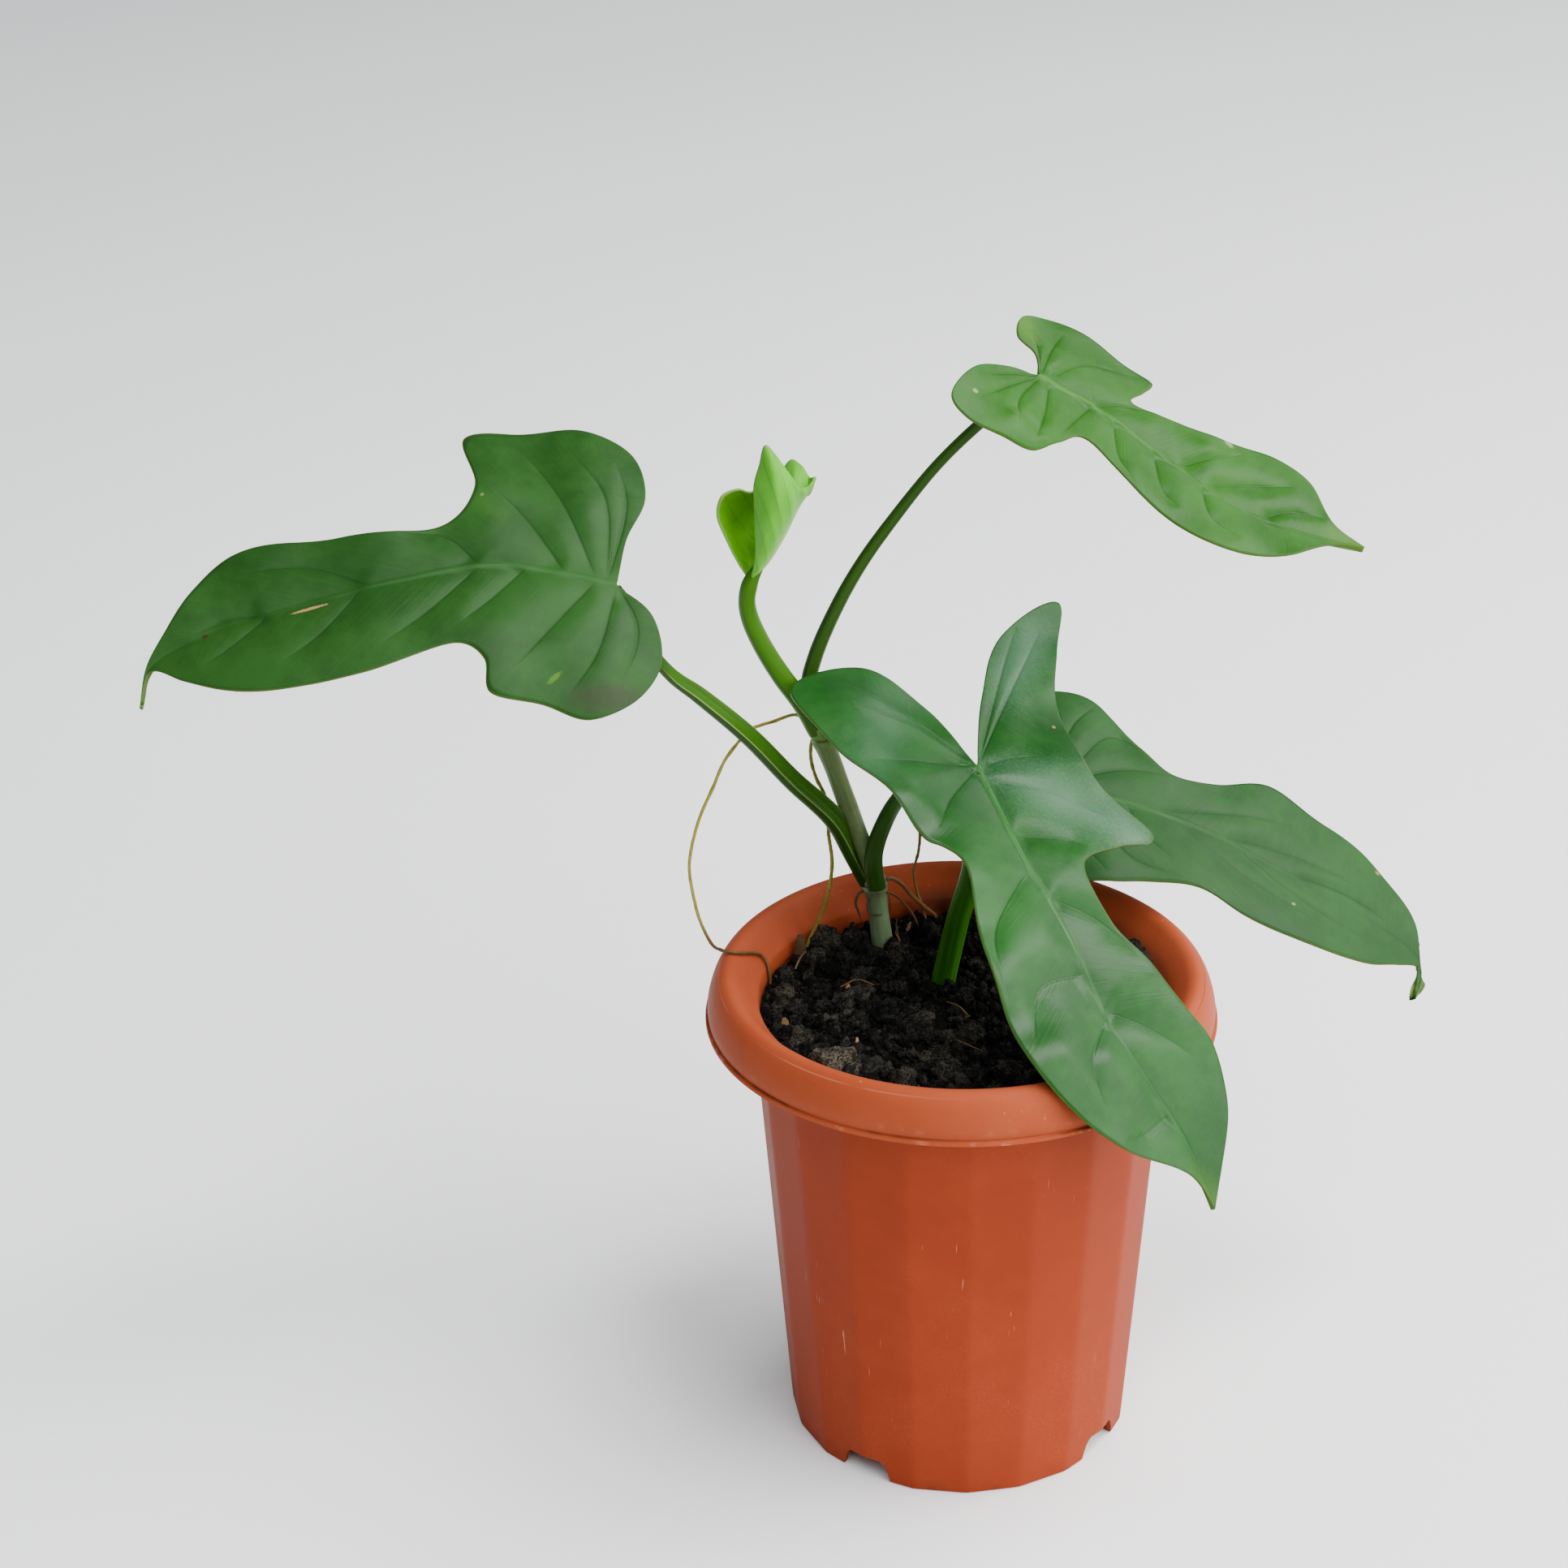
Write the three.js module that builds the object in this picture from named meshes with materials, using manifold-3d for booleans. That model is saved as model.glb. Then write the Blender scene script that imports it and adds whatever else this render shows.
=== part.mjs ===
import * as THREE from 'three';
import { mergeVertices } from 'three/addons/utils/BufferGeometryUtils.js';
import Module from 'manifold-3d';

// Potted horsehead philodendron, millimetres, +Z up, built about the pot's axis
// Pot
const WALL_SIDES = 20;
const FOOT_RADIUS = 61.7;
const WALL_TOP_RADIUS = 74;
const WALL_TOP = 168;
const INNER_FLOOR_RADIUS = 59;
const INNER_TOP_RADIUS = 71.5;
const FLOOR_UNDERSIDE = 8;
const FLOOR_TOP = 10.2;
const STEP_HEIGHT = 170.5;
const RIM_SEGMENTS = 60;
// Radius and height round the rolled rim: lip, roll, crest, inner slope, hollow underside
const RIM_PROFILE = [
  [87.4, 162.9], [90, 162.9], [90, 164.2], [88.9, 164.8], [89, 168], [88.4, 172], [86.9, 176],
  [84.9, 178.8], [82.5, 180], [80, 179.3], [77.3, 176.9], [74.6, 173.9], [71.5, 170.5],
  [70.5, 163], [73.4, 163], [75.6, 170.6], [79.6, 175.6], [83.2, 176.6], [86.2, 171.4],
];
const NOTCH_ANGLES = [-126, -36, 54, 144];
// Half outline of a foot notch from below the foot to its top, and its reach out from the axis
const NOTCH_HALF = [[10.6, -1], [10, 0.6], [8.4, 6.1], [6, 8.5]];
const NOTCH_REACH = [50, 70];
const DRAIN_COUNT = 4;
const DRAIN_SIDES = 12;
const DRAIN_RADIUS = 4;
const DRAIN_CIRCLE = 36;
// How far a cutting body reaches past the face it opens
const OVERCUT = 1;

// Soil
const GAP = 0.3;
const SOIL_TOP = 166;
const SOIL_EDGE = 164;
const SOIL_SWELL = 0.9;
const SOIL_TILT = 0.015;
const SOIL_RINGS = 7;

// Leaves: every row is one rib, counted from the notch round the rear lobe to the tip.
// A rib starts on the lobe vein (below zero) or on the midrib (above zero).
const RIB_STARTS = [0, -0.4, -0.75, -1, -0.75, -0.4, 0, 0.08, 0.16, 0.3, 0.46, 0.62, 0.78, 0.92, 1];
const BLADE_THICKNESS = 0.8;
const STEPS_PER_RIB = 2;
const STEPS_ACROSS = 4;
// Waves of the margin: full this far from the midrib, their step along it, the far half's shift
const WAVE_RISE = 30;
const WAVE_STEP = 6;
const WAVE_SHIFT = 1.5;
// joint: where the stalk meets the blade; turn: heading, pitch and roll in degrees
// arch, fold, curl and wave shape the blade; margins are [along, out] from the joint
const LEFT_LEAF = {
  joint: [-116, 20, 320], turn: [-173, -6, -40], length: 159, arch: 8, fold: 0.12, curl: 0.35, wave: 0.8,
  midrib: [[0, 0], [39, -12], [73, -11], [108, -8], [140, -4], [159, 3], [164, 16]],
  lobeVeins: [[2, 32], [-4, -48]],
  margins: [
    [[0, 0], [-10, 13], [-10, 31], [1, 44], [17, 49], [31, 42], [48, 36], [48, 24], [55, 17],
      [88, 22], [120, 22], [135, 18], [148, 11], [159, 4], [164, 16]],
    [[0, 0], [-6, -17], [-15, -33], [-13, -52], [3, -64], [24, -66], [43, -66], [42, -44], [53, -31],
      [90, -31], [127, -32], [141, -22], [152, -9], [160, 2], [164, 16]],
  ],
};
const TOP_LEAF = {
  joint: [28, 45, 383], turn: [-16, -25, 18], length: 123, arch: -3, fold: 0.12, curl: 0.5, wave: 1,
  midrib: [[0, 0], [22, 1], [50, -4], [76, -9], [98, -7], [123, 0]],
  lobeVeins: [[-6, 20], [-13, -23]],
  margins: [
    [[0, 0], [-5, 8], [-13, 10], [-15, 21], [-4, 30], [18, 29], [34, 28], [32, 19], [31, 12],
      [50, 13], [69, 17], [83, 20], [97, 17], [110, 4], [123, 0]],
    [[0, 0], [-11, -5], [-20, -14], [-22, -31], [-14, -35], [-1, -35], [10, -33], [17, -23], [22, -16],
      [48, -25], [73, -30], [87, -27], [101, -19], [113, -5], [123, 0]],
  ],
};
const FRONT_LEAF = {
  joint: [7, 25, 247], turn: [-59, -37, 0], length: 176, arch: 8, fold: 0.15, curl: 0.25, wave: 1,
  midrib: [[0, 0], [33, -4], [73, -5], [114, -7], [150, 0], [176, 0]],
  lobeVeins: [[-46, 54], [-40, -28]],
  margins: [
    [[0, 0], [-26, 17], [-51, 42], [-61, 76], [-20, 45], [15, 36], [49, 43], [48, 29], [49, 14],
      [72, 12], [93, 17], [111, 21], [127, 24], [145, 20], [176, 0]],
    [[0, 0], [-28, -4], [-53, -16], [-53, -46], [-25, -46], [-2, -39], [22, -35], [27, -31], [35, -28],
      [73, -39], [111, -43], [131, -36], [148, -25], [164, -3], [176, 0]],
  ],
};
const RIGHT_LEAF = {
  joint: [27, 70, 221], turn: [-12, -24, 25], length: 160, arch: 6, fold: 0.12, curl: 0.4, wave: 0.8,
  midrib: [[0, 0], [37, 6], [65, 9], [99, 8], [135, 6], [159, 1], [162, -14]],
  lobeVeins: [[-2, 33], [3, -27]],
  margins: [
    [[0, 0], [-5, 11], [-12, 25], [-8, 40], [3, 46], [13, 46], [21, 42], [35, 33], [49, 26],
      [66, 32], [84, 42], [108, 38], [132, 30], [153, 15], [162, -14]],
    [[0, 0], [-5, -9], [-8, -24], [1, -38], [15, -41], [42, -31], [55, -24], [73, -18], [91, -20],
      [113, -19], [133, -15], [142, -12], [151, -6], [160, -1], [162, -14]],
  ],
};

// Half-furled young leaf: x, y, z from its joint, margins and the middle of every rib
const YOUNG_JOINT = [-71, 45, 310];
const YOUNG_MIDRIB = [[0, 0, 0], [6, -1, 7], [12, -1, 17], [17, 0, 27], [21, 1, 33], [23, 2, 37]];
const YOUNG_STARTS = [0, 0.04, 0.1, 0.18, 0.27, 0.37, 0.48, 0.58, 0.68, 0.78, 0.88, 1];
const YOUNG_MARGINS = [
  [[0, 0, 0], [2, -3, 9], [2, -6, 21], [2, -7, 31], [2, -7, 38], [4, -6, 45], [6, -4, 51],
    [9, -5, 48], [13, -6, 42], [15, -6, 37], [19, -3, 35], [23, 2, 37]],
  [[0, 0, 0], [-4, 1, 6], [-8, 1, 15], [-11, 0, 25], [-9, -1, 32], [-4, 2, 33], [1, 7, 30],
    [7, 10, 34], [14, 4, 35], [16, -1, 34], [20, 0, 31], [23, 2, 37]],
];
const YOUNG_MIDDLES = [
  [[0, 0, 0], [1, -3, 4], [3, -7, 11], [5, -11, 19], [7, -13, 25], [9, -14, 31], [11, -14, 36],
    [14, -12, 37], [16, -9, 37], [18, -6, 35], [20, -2, 34], [23, 2, 37]],
  [[0, 0, 0], [-1, 1, 2], [-2, 4, 6], [-3, 8, 9], [-3, 11, 15], [0, 13, 19], [5, 14, 24],
    [11, 14, 30], [15, 14, 38], [18, 10, 38], [21, 6, 35], [23, 2, 37]],
];

// Stem and stalks: path points with the radius at each point, [x, y, z, radius]
const STEM = [
  [-24, 50, 142, 3.9], [-25.8, 50, 163, 3.9], [-27.8, 50, 182, 3.8], [-28.6, 50, 188, 4.5], [-29.4, 50, 192, 4.1],
  [-32, 50, 201, 3.6], [-38, 51, 219.5, 3.5], [-43.5, 52, 236.5, 3.5], [-47, 52, 246, 3.8], [-49, 52, 251, 3.9],
];
const LEFT_STALK = [
  [-31, 51, 189, 3.6], [-36, 49, 201, 4], [-43, 47, 216, 4], [-58, 43, 234, 3.9], [-73, 40, 253, 3.8],
  [-90, 36, 271, 3.3], [-99, 33, 280, 2.5], [-109, 28, 297, 2.4], [-116, 21, 319, 2.2],
];
const RIGHT_STALK = [
  [-28, 45, 189, 3.3], [-29, 46, 202, 3.3], [-25, 50, 213, 3.1], [-19, 57, 220, 2.8], [-10, 63, 226, 2.6],
  [5, 68, 223, 2.5], [19, 71, 219, 2.4], [28, 70, 220, 2.2],
];
const FRONT_STALK = [
  [-9, 20, 143, 4.3], [-5, 20, 165, 4.3], [0, 19, 190, 4.1], [5, 18, 211, 3.8], [6, 20, 231, 3.4],
  [8, 24, 246, 2.8],
];
const TOP_STALK = [
  [-48, 56, 250, 2.8], [-51.5, 56, 264, 2.8], [-49, 56, 276, 2.7], [-41.5, 55.5, 294.5, 2.5],
  [-32.5, 55, 311.5, 2.3], [-20.5, 54, 329.5, 2.1], [-6, 51, 349.5, 1.9], [8, 49, 364.5, 1.9],
  [19.5, 48, 374.5, 1.9], [28, 45, 382, 1.8],
];
const YOUNG_STALK = [
  [-49.5, 52, 251.5, 3.8], [-53.5, 52.5, 259, 3.7], [-60.5, 51.5, 270, 3.6], [-67, 49.5, 282.5, 3.4],
  [-71.5, 47.5, 294.5, 3.2], [-72.5, 46, 302, 3], [-71, 45, 310, 2.7],
];
// Groove along a stalk: how far round it spreads, in radians, and the share of the stalk it fades over
const GROOVE_SPREAD = 0.55;
const GROOVE_FADE = 0.12;
const ROOT_RADIUS = 0.6;
const ROOT_SIDES = 6;
// Aerial roots, [x, y, z] from the node they grow from to where they end in the soil
const AERIAL_ROOTS = {
  root_over_rim: [
    [-51, 53, 251], [-56, 57, 253], [-64, 54, 252], [-72, 50, 251], [-77, 47, 247], [-82, 44, 241],
    [-86, 40, 233], [-91, 36, 223], [-94, 33, 213], [-95, 31, 206], [-94, 29, 197], [-92, 27, 188],
    [-89, 24, 181.5], [-86.8, 20, 180], [-84, 16, 180.6], [-81, 13.6, 181.2], [-78, 14.4, 180.3],
    [-74.5, 18.5, 178], [-70.6, 22.5, 175.2], [-68.8, 22.6, 173.3], [-67.4, 20.5, 170], [-67, 19.5, 160],
  ],
  root_left: [
    [-48, 52, 247], [-50.5, 54, 244], [-51, 54, 237], [-49, 53.5, 229], [-46, 53, 222], [-45, 52, 207],
    [-44, 50, 199], [-44.5, 49, 191], [-47, 47, 181], [-51, 45, 172], [-54, 43, 165], [-55, 43, 157],
  ],
  root_right: [
    [-50, 52, 248], [-45, 57, 251], [-36, 61, 248], [-26, 64, 238], [-17, 66, 223], [-12.5, 66, 209],
    [-11.5, 66, 200], [-12, 66, 193], [-13.7, 65.5, 185], [-12.6, 65, 177], [-10.5, 65, 170], [-8, 65, 157],
  ],
  root_low: [
    [-28.5, 50, 188], [-23, 50.5, 190], [-19.5, 53, 187], [-15, 58, 179], [-10, 62, 172], [-5.5, 65, 166],
    [-2, 66, 157],
  ],
  root_lower: [
    [-28.5, 50, 186], [-25, 48, 186], [-21.4, 51, 183], [-18, 56, 177], [-15, 59, 171.5], [-13, 61, 166],
    [-12, 61, 157],
  ],
};

const COLOURS = {
  pot: 0xb5492c, soil: 0x1e1a18, stem: 0x7d8f6a, stalk: 0x3f7a2a, leaf: 0x2f6b35, young: 0x6fae2e,
  root: 0x8a7a3a,
};

const wasm = await Module();
wasm.setup();

const vector = ([x, y, z = 0]) => new THREE.Vector3(x, y, z);
const smooth = (points) => new THREE.CatmullRomCurve3(points.map(vector), false, 'centripetal');
const mix = THREE.MathUtils.lerp;
const radians = THREE.MathUtils.degToRad;

// Closed triangle mesh from corner points and corner triples
function body(points, triangles) {
  const geometry = new THREE.BufferGeometry();
  geometry.setAttribute('position', new THREE.Float32BufferAttribute(points.flatMap((p) => p.toArray()), 3));
  geometry.setIndex(triangles.flat());
  return geometry;
}

function signedVolume(geometry) {
  const place = geometry.getAttribute('position');
  const index = geometry.getIndex().array;
  const [a, b, c] = [new THREE.Vector3(), new THREE.Vector3(), new THREE.Vector3()];
  let sum = 0;
  for (let i = 0; i < index.length; i += 3) {
    a.fromBufferAttribute(place, index[i]);
    b.fromBufferAttribute(place, index[i + 1]);
    c.fromBufferAttribute(place, index[i + 2]);
    sum += a.dot(b.cross(c)) / 6;
  }
  return sum;
}

function toSolid(geometry) {
  const plain = geometry.clone();
  plain.deleteAttribute('normal');
  plain.deleteAttribute('uv');
  const merged = mergeVertices(plain, 1e-4);
  const triVerts = Uint32Array.from(merged.getIndex().array);
  if (signedVolume(merged) < 0) {
    for (let i = 0; i < triVerts.length; i += 3) {
      [triVerts[i + 1], triVerts[i + 2]] = [triVerts[i + 2], triVerts[i + 1]];
    }
  }
  const vertProperties = Float32Array.from(merged.getAttribute('position').array);
  return new wasm.Manifold(new wasm.Mesh({ numProp: 3, vertProperties, triVerts }));
}

function toGeometry(solid) {
  const mesh = solid.getMesh();
  const geometry = new THREE.BufferGeometry();
  geometry.setAttribute('position', new THREE.BufferAttribute(Float32Array.from(mesh.vertProperties), 3));
  geometry.setIndex(new THREE.BufferAttribute(Uint32Array.from(mesh.triVerts), 1));
  return geometry;
}

// Cut pieces away and keep the largest part that is left
function trimmed(geometry, cutters) {
  let solid = toSolid(geometry);
  for (const cutter of cutters) {
    solid = solid.subtract(toSolid(cutter));
  }
  const parts = solid.decompose();
  parts.sort((a, b) => b.volume() - a.volume());
  return toGeometry(parts[0]);
}

function turned(profile, segments) {
  const geometry = new THREE.LatheGeometry(profile.map(([r, z]) => new THREE.Vector2(r, z)), segments);
  return geometry.rotateX(Math.PI / 2);
}

// Plastic pot: flat-panelled wall, rolled rim, raised floor with drain holes, foot notches
function potBody() {
  const wall = turned([[0, 0], [FOOT_RADIUS, 0], [WALL_TOP_RADIUS, WALL_TOP], [0, WALL_TOP]], WALL_SIDES);
  const rim = turned([...RIM_PROFILE, RIM_PROFILE[0]], RIM_SEGMENTS);
  const hollow = turned(
    [[0, FLOOR_TOP], [INNER_FLOOR_RADIUS, FLOOR_TOP], [INNER_TOP_RADIUS, STEP_HEIGHT], [0, STEP_HEIGHT]],
    RIM_SEGMENTS,
  );
  const underside = turned(
    [[0, -OVERCUT], [INNER_FLOOR_RADIUS, -OVERCUT], [INNER_FLOOR_RADIUS, FLOOR_UNDERSIDE], [0, FLOOR_UNDERSIDE]],
    RIM_SEGMENTS,
  );
  let pot = toSolid(wall).add(toSolid(rim)).subtract(toSolid(hollow)).subtract(toSolid(underside));
  for (const angle of NOTCH_ANGLES) {
    pot = pot.subtract(toSolid(footNotch(radians(angle))));
  }
  const depth = FLOOR_TOP - FLOOR_UNDERSIDE + 2 * OVERCUT;
  for (let i = 0; i < DRAIN_COUNT; i += 1) {
    const angle = ((i + 0.5) / DRAIN_COUNT) * 2 * Math.PI;
    const hole = new THREE.CylinderGeometry(DRAIN_RADIUS, DRAIN_RADIUS, depth, DRAIN_SIDES).rotateX(Math.PI / 2);
    hole.translate(DRAIN_CIRCLE * Math.cos(angle), DRAIN_CIRCLE * Math.sin(angle), (FLOOR_TOP + FLOOR_UNDERSIDE) / 2);
    pot = pot.subtract(toSolid(hole));
  }
  return toGeometry(pot);
}

function footNotch(angle) {
  const farHalf = [...NOTCH_HALF].reverse().map(([x, z]) => [-x, z]);
  const outline = new THREE.Shape([...NOTCH_HALF, ...farHalf].map(([x, z]) => new THREE.Vector2(x, z)));
  const [near, far] = NOTCH_REACH;
  const block = new THREE.ExtrudeGeometry(outline, { depth: far - near, bevelEnabled: false });
  const outward = new THREE.Vector3(Math.cos(angle), Math.sin(angle), 0);
  const up = new THREE.Vector3(0, 0, 1);
  const across = new THREE.Vector3().crossVectors(up, outward);
  block.translate(0, 0, near);
  return block.applyMatrix4(new THREE.Matrix4().makeBasis(across, up, outward));
}

// Loose surface of the soil, a little lower at the back left
function soilHeight(x, y) {
  const lumps = Math.sin(x / 9 + 1) * Math.cos(y / 8) + 0.5 * Math.sin((x + 2 * y) / 7);
  return SOIL_TOP + SOIL_SWELL * lumps - SOIL_TILT * (y - x * 0.6);
}

function soilBody(holes) {
  const slope = (INNER_TOP_RADIUS - INNER_FLOOR_RADIUS) / (STEP_HEIGHT - FLOOR_TOP);
  const sideRadius = (z) => INNER_FLOOR_RADIUS + slope * (z - FLOOR_TOP) - GAP;
  const points = [new THREE.Vector3(0, 0, FLOOR_TOP + GAP)];
  const triangles = [];
  const ring = (radius, height) => {
    for (let i = 0; i < RIM_SEGMENTS; i += 1) {
      const angle = (i / RIM_SEGMENTS) * 2 * Math.PI - Math.PI / 2;
      const [x, y] = [radius * Math.cos(angle), radius * Math.sin(angle)];
      points.push(new THREE.Vector3(x, y, height ?? soilHeight(x, y)));
    }
  };
  ring(sideRadius(FLOOR_TOP + GAP), FLOOR_TOP + GAP);
  for (let k = SOIL_RINGS; k > 0; k -= 1) {
    ring((sideRadius(SOIL_EDGE) * k) / SOIL_RINGS);
  }
  points.push(new THREE.Vector3(0, 0, soilHeight(0, 0)));
  const last = points.length - 1;
  const corner = (k, i) => 1 + k * RIM_SEGMENTS + (i % RIM_SEGMENTS);
  for (let i = 0; i < RIM_SEGMENTS; i += 1) {
    triangles.push([0, corner(0, i + 1), corner(0, i)]);
    for (let k = 0; k < SOIL_RINGS; k += 1) {
      triangles.push([corner(k, i), corner(k, i + 1), corner(k + 1, i + 1)]);
      triangles.push([corner(k, i), corner(k + 1, i + 1), corner(k + 1, i)]);
    }
    triangles.push([corner(SOIL_RINGS, i), corner(SOIL_RINGS, i + 1), last]);
  }
  return trimmed(body(points, triangles), holes);
}

// Round stalk along a smooth path, with an optional groove that fades out towards its end
function stalk(path, { sides = 10, steps = 2, grow = 0, groove = 0, grooveEnd = 1, facing = [0, -1, 1] } = {}) {
  const curve = smooth(path);
  const rings = (path.length - 1) * steps;
  const points = [];
  const triangles = [];
  const up = vector(facing);
  for (let k = 0; k <= rings; k += 1) {
    const t = k / rings;
    const along = curve.getTangent(t);
    up.addScaledVector(along, -up.dot(along)).normalize();
    const side = new THREE.Vector3().crossVectors(along, up);
    const place = Math.min(Math.floor(k / steps), path.length - 2);
    const radius = mix(path[place][3] ?? ROOT_RADIUS, path[place + 1][3] ?? ROOT_RADIUS, k / steps - place);
    const depth = groove * (1 - THREE.MathUtils.smoothstep(t, grooveEnd - GROOVE_FADE, grooveEnd));
    for (let i = 0; i < sides; i += 1) {
      const angle = (i / sides) * 2 * Math.PI;
      const turn = Math.min(angle, 2 * Math.PI - angle);
      const reach = radius * (1 - depth * Math.exp(-((turn / GROOVE_SPREAD) ** 2))) + grow;
      const point = curve.getPoint(t).addScaledVector(up, reach * Math.cos(angle));
      points.push(point.addScaledVector(side, reach * Math.sin(angle)));
    }
  }
  points.push(curve.getPoint(0), curve.getPoint(1));
  const [first, last] = [points.length - 2, points.length - 1];
  for (let i = 0; i < sides; i += 1) {
    const next = (i + 1) % sides;
    triangles.push([first, next, i], [last, rings * sides + i, rings * sides + next]);
    for (let k = 0; k < rings; k += 1) {
      const [a, b] = [k * sides + i, k * sides + next];
      triangles.push([a, b, b + sides], [a, b + sides, a + sides]);
    }
  }
  return body(points, triangles);
}

// Height of the blade over the flat leaf plane
function bladeHeight(leaf, x, y) {
  const t = THREE.MathUtils.clamp(x / leaf.length, -0.35, 1.1);
  const edge = Math.min(1, (y / WAVE_RISE) ** 2) * Math.sin(x / WAVE_STEP + (y > 0 ? 0 : WAVE_SHIFT));
  const bow = leaf.arch * 4 * t * (1 - t);
  return bow + leaf.fold * Math.abs(y) - (leaf.curl * y * y) / 100 + leaf.wave * edge;
}

// Corner rows of one half, each row running along a rib from the midrib to the margin
function ribRows(starts, spine, margin, middle) {
  const rows = [];
  const count = (starts.length - 1) * STEPS_PER_RIB;
  for (let k = 0; k <= count; k += 1) {
    const rib = Math.min(Math.floor(k / STEPS_PER_RIB), starts.length - 2);
    const start = mix(starts[rib], starts[rib + 1], k / STEPS_PER_RIB - rib);
    const root = spine(start);
    const end = margin.getPoint(k / count);
    const bow = middle ? middle.getPoint(k / count).sub(root.clone().lerp(end, 0.5)) : new THREE.Vector3();
    const row = [];
    for (let j = 0; j <= STEPS_ACROSS; j += 1) {
      const r = j / STEPS_ACROSS;
      row.push(root.clone().lerp(end, r).addScaledVector(bow, 4 * r * (1 - r)));
    }
    rows.push(row);
  }
  return rows;
}

// Blade of even thickness over the rows of both halves
function blade(halves, thickness) {
  const corners = [];
  const seen = new Map();
  const triangles = [];
  const number = (point) => {
    const key = point.toArray().map((value) => Math.round(value * 1000)).join(' ');
    if (!seen.has(key)) {
      seen.set(key, corners.length);
      corners.push(point);
    }
    return seen.get(key);
  };
  const face = (a, b, c) => {
    if (a !== b && b !== c && c !== a) {
      triangles.push([a, b, c]);
    }
  };
  halves.forEach((rows, side) => {
    const index = rows.map((row) => row.map(number));
    for (let k = 0; k < index.length - 1; k += 1) {
      for (let j = 0; j < STEPS_ACROSS; j += 1) {
        const [a, b, c, d] = [index[k][j], index[k + 1][j], index[k + 1][j + 1], index[k][j + 1]];
        if (side === 0) {
          face(a, b, c);
          face(a, c, d);
        } else {
          face(a, c, b);
          face(a, d, c);
        }
      }
    }
  });
  const sheet = body(corners, triangles);
  sheet.computeVertexNormals();
  const normal = sheet.getAttribute('normal');
  const shifted = (distance) => corners.map((corner, i) => (
    new THREE.Vector3().fromBufferAttribute(normal, i).multiplyScalar(distance).add(corner)));
  const count = corners.length;
  const edges = new Set(triangles.flatMap(([a, b, c]) => [`${a} ${b}`, `${b} ${c}`, `${c} ${a}`]));
  const closed = [...triangles, ...triangles.map(([a, b, c]) => [a + count, c + count, b + count])];
  for (const edge of edges) {
    const [a, b] = edge.split(' ').map(Number);
    if (!edges.has(`${b} ${a}`)) {
      closed.push([b, a, a + count], [b, a + count, b + count]);
    }
  }
  return body([...shifted(thickness / 2), ...shifted(-thickness / 2)], closed);
}

// Leaf plane turned and moved to the joint, blade curved by its height
function leafBlade(leaf, thickness) {
  const [heading, pitch, roll] = leaf.turn.map(radians);
  const midrib = smooth(leaf.midrib);
  const halves = leaf.margins.map((margin, side) => {
    const vein = vector(leaf.lobeVeins[side]);
    const spine = (start) => (start < 0 ? vein.clone().multiplyScalar(-start) : midrib.getPointAt(start));
    return ribRows(RIB_STARTS, spine, smooth(margin));
  });
  const place = new THREE.Matrix4().makeRotationFromEuler(new THREE.Euler(roll, -pitch, heading, 'ZYX'));
  place.setPosition(vector(leaf.joint));
  for (const point of halves.flat(2)) {
    point.z = bladeHeight(leaf, point.x, point.y);
    point.applyMatrix4(place);
  }
  return blade(halves, thickness);
}

function youngBlade(thickness) {
  const midrib = smooth(YOUNG_MIDRIB);
  const halves = YOUNG_MARGINS.map((margin, side) => (
    ribRows(YOUNG_STARTS, (start) => midrib.getPointAt(start), smooth(margin), smooth(YOUNG_MIDDLES[side]))));
  return blade(halves.reverse(), thickness).translate(...YOUNG_JOINT);
}

const group = new THREE.Group();
function add(name, geometry, colour) {
  const mesh = new THREE.Mesh(geometry, new THREE.MeshStandardMaterial({ color: colour, roughness: 0.5 }));
  mesh.name = name;
  group.add(mesh);
}

const leftGroove = { sides: 12, groove: 0.5, grooveEnd: 0.72, facing: [0.5, -0.6, 0.7] };
const frontGroove = { sides: 12, groove: 0.14, facing: [-0.2, -1, 0.3] };
const rootShape = { sides: ROOT_SIDES, steps: 1 };
const stemBody = stalk(STEM);
const stemSpace = stalk(STEM, { grow: GAP });
const rightSpace = stalk(RIGHT_STALK, { grow: GAP });
const youngSpace = stalk(YOUNG_STALK, { grow: GAP });
const cutSpace = BLADE_THICKNESS + 2 * GAP;

add('pot', potBody(), COLOURS.pot);
const holes = [stemSpace, stalk(FRONT_STALK, { ...frontGroove, groove: 0, grow: GAP })];
for (const path of Object.values(AERIAL_ROOTS)) {
  holes.push(stalk(path, { ...rootShape, grow: GAP }));
}
add('soil', soilBody(holes), COLOURS.soil);
add('stem', stemBody, COLOURS.stem);
const leftCuts = [stemSpace, rightSpace, leafBlade(LEFT_LEAF, cutSpace)];
add('stalk_left', trimmed(stalk(LEFT_STALK, leftGroove), leftCuts), COLOURS.stalk);
add('stalk_right', trimmed(stalk(RIGHT_STALK), [stemSpace, leafBlade(RIGHT_LEAF, cutSpace)]), COLOURS.stalk);
add('stalk_front', trimmed(stalk(FRONT_STALK, frontGroove), [leafBlade(FRONT_LEAF, cutSpace)]), COLOURS.stalk);
const topCuts = [stemSpace, youngSpace, leafBlade(TOP_LEAF, cutSpace)];
add('stalk_top', trimmed(stalk(TOP_STALK), topCuts), COLOURS.stalk);
add('stalk_young', trimmed(stalk(YOUNG_STALK), [stemSpace, youngBlade(cutSpace)]), COLOURS.young);
add('leaf_left', leafBlade(LEFT_LEAF, BLADE_THICKNESS), COLOURS.leaf);
add('leaf_right', leafBlade(RIGHT_LEAF, BLADE_THICKNESS), COLOURS.leaf);
add('leaf_front', leafBlade(FRONT_LEAF, BLADE_THICKNESS), COLOURS.leaf);
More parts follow.
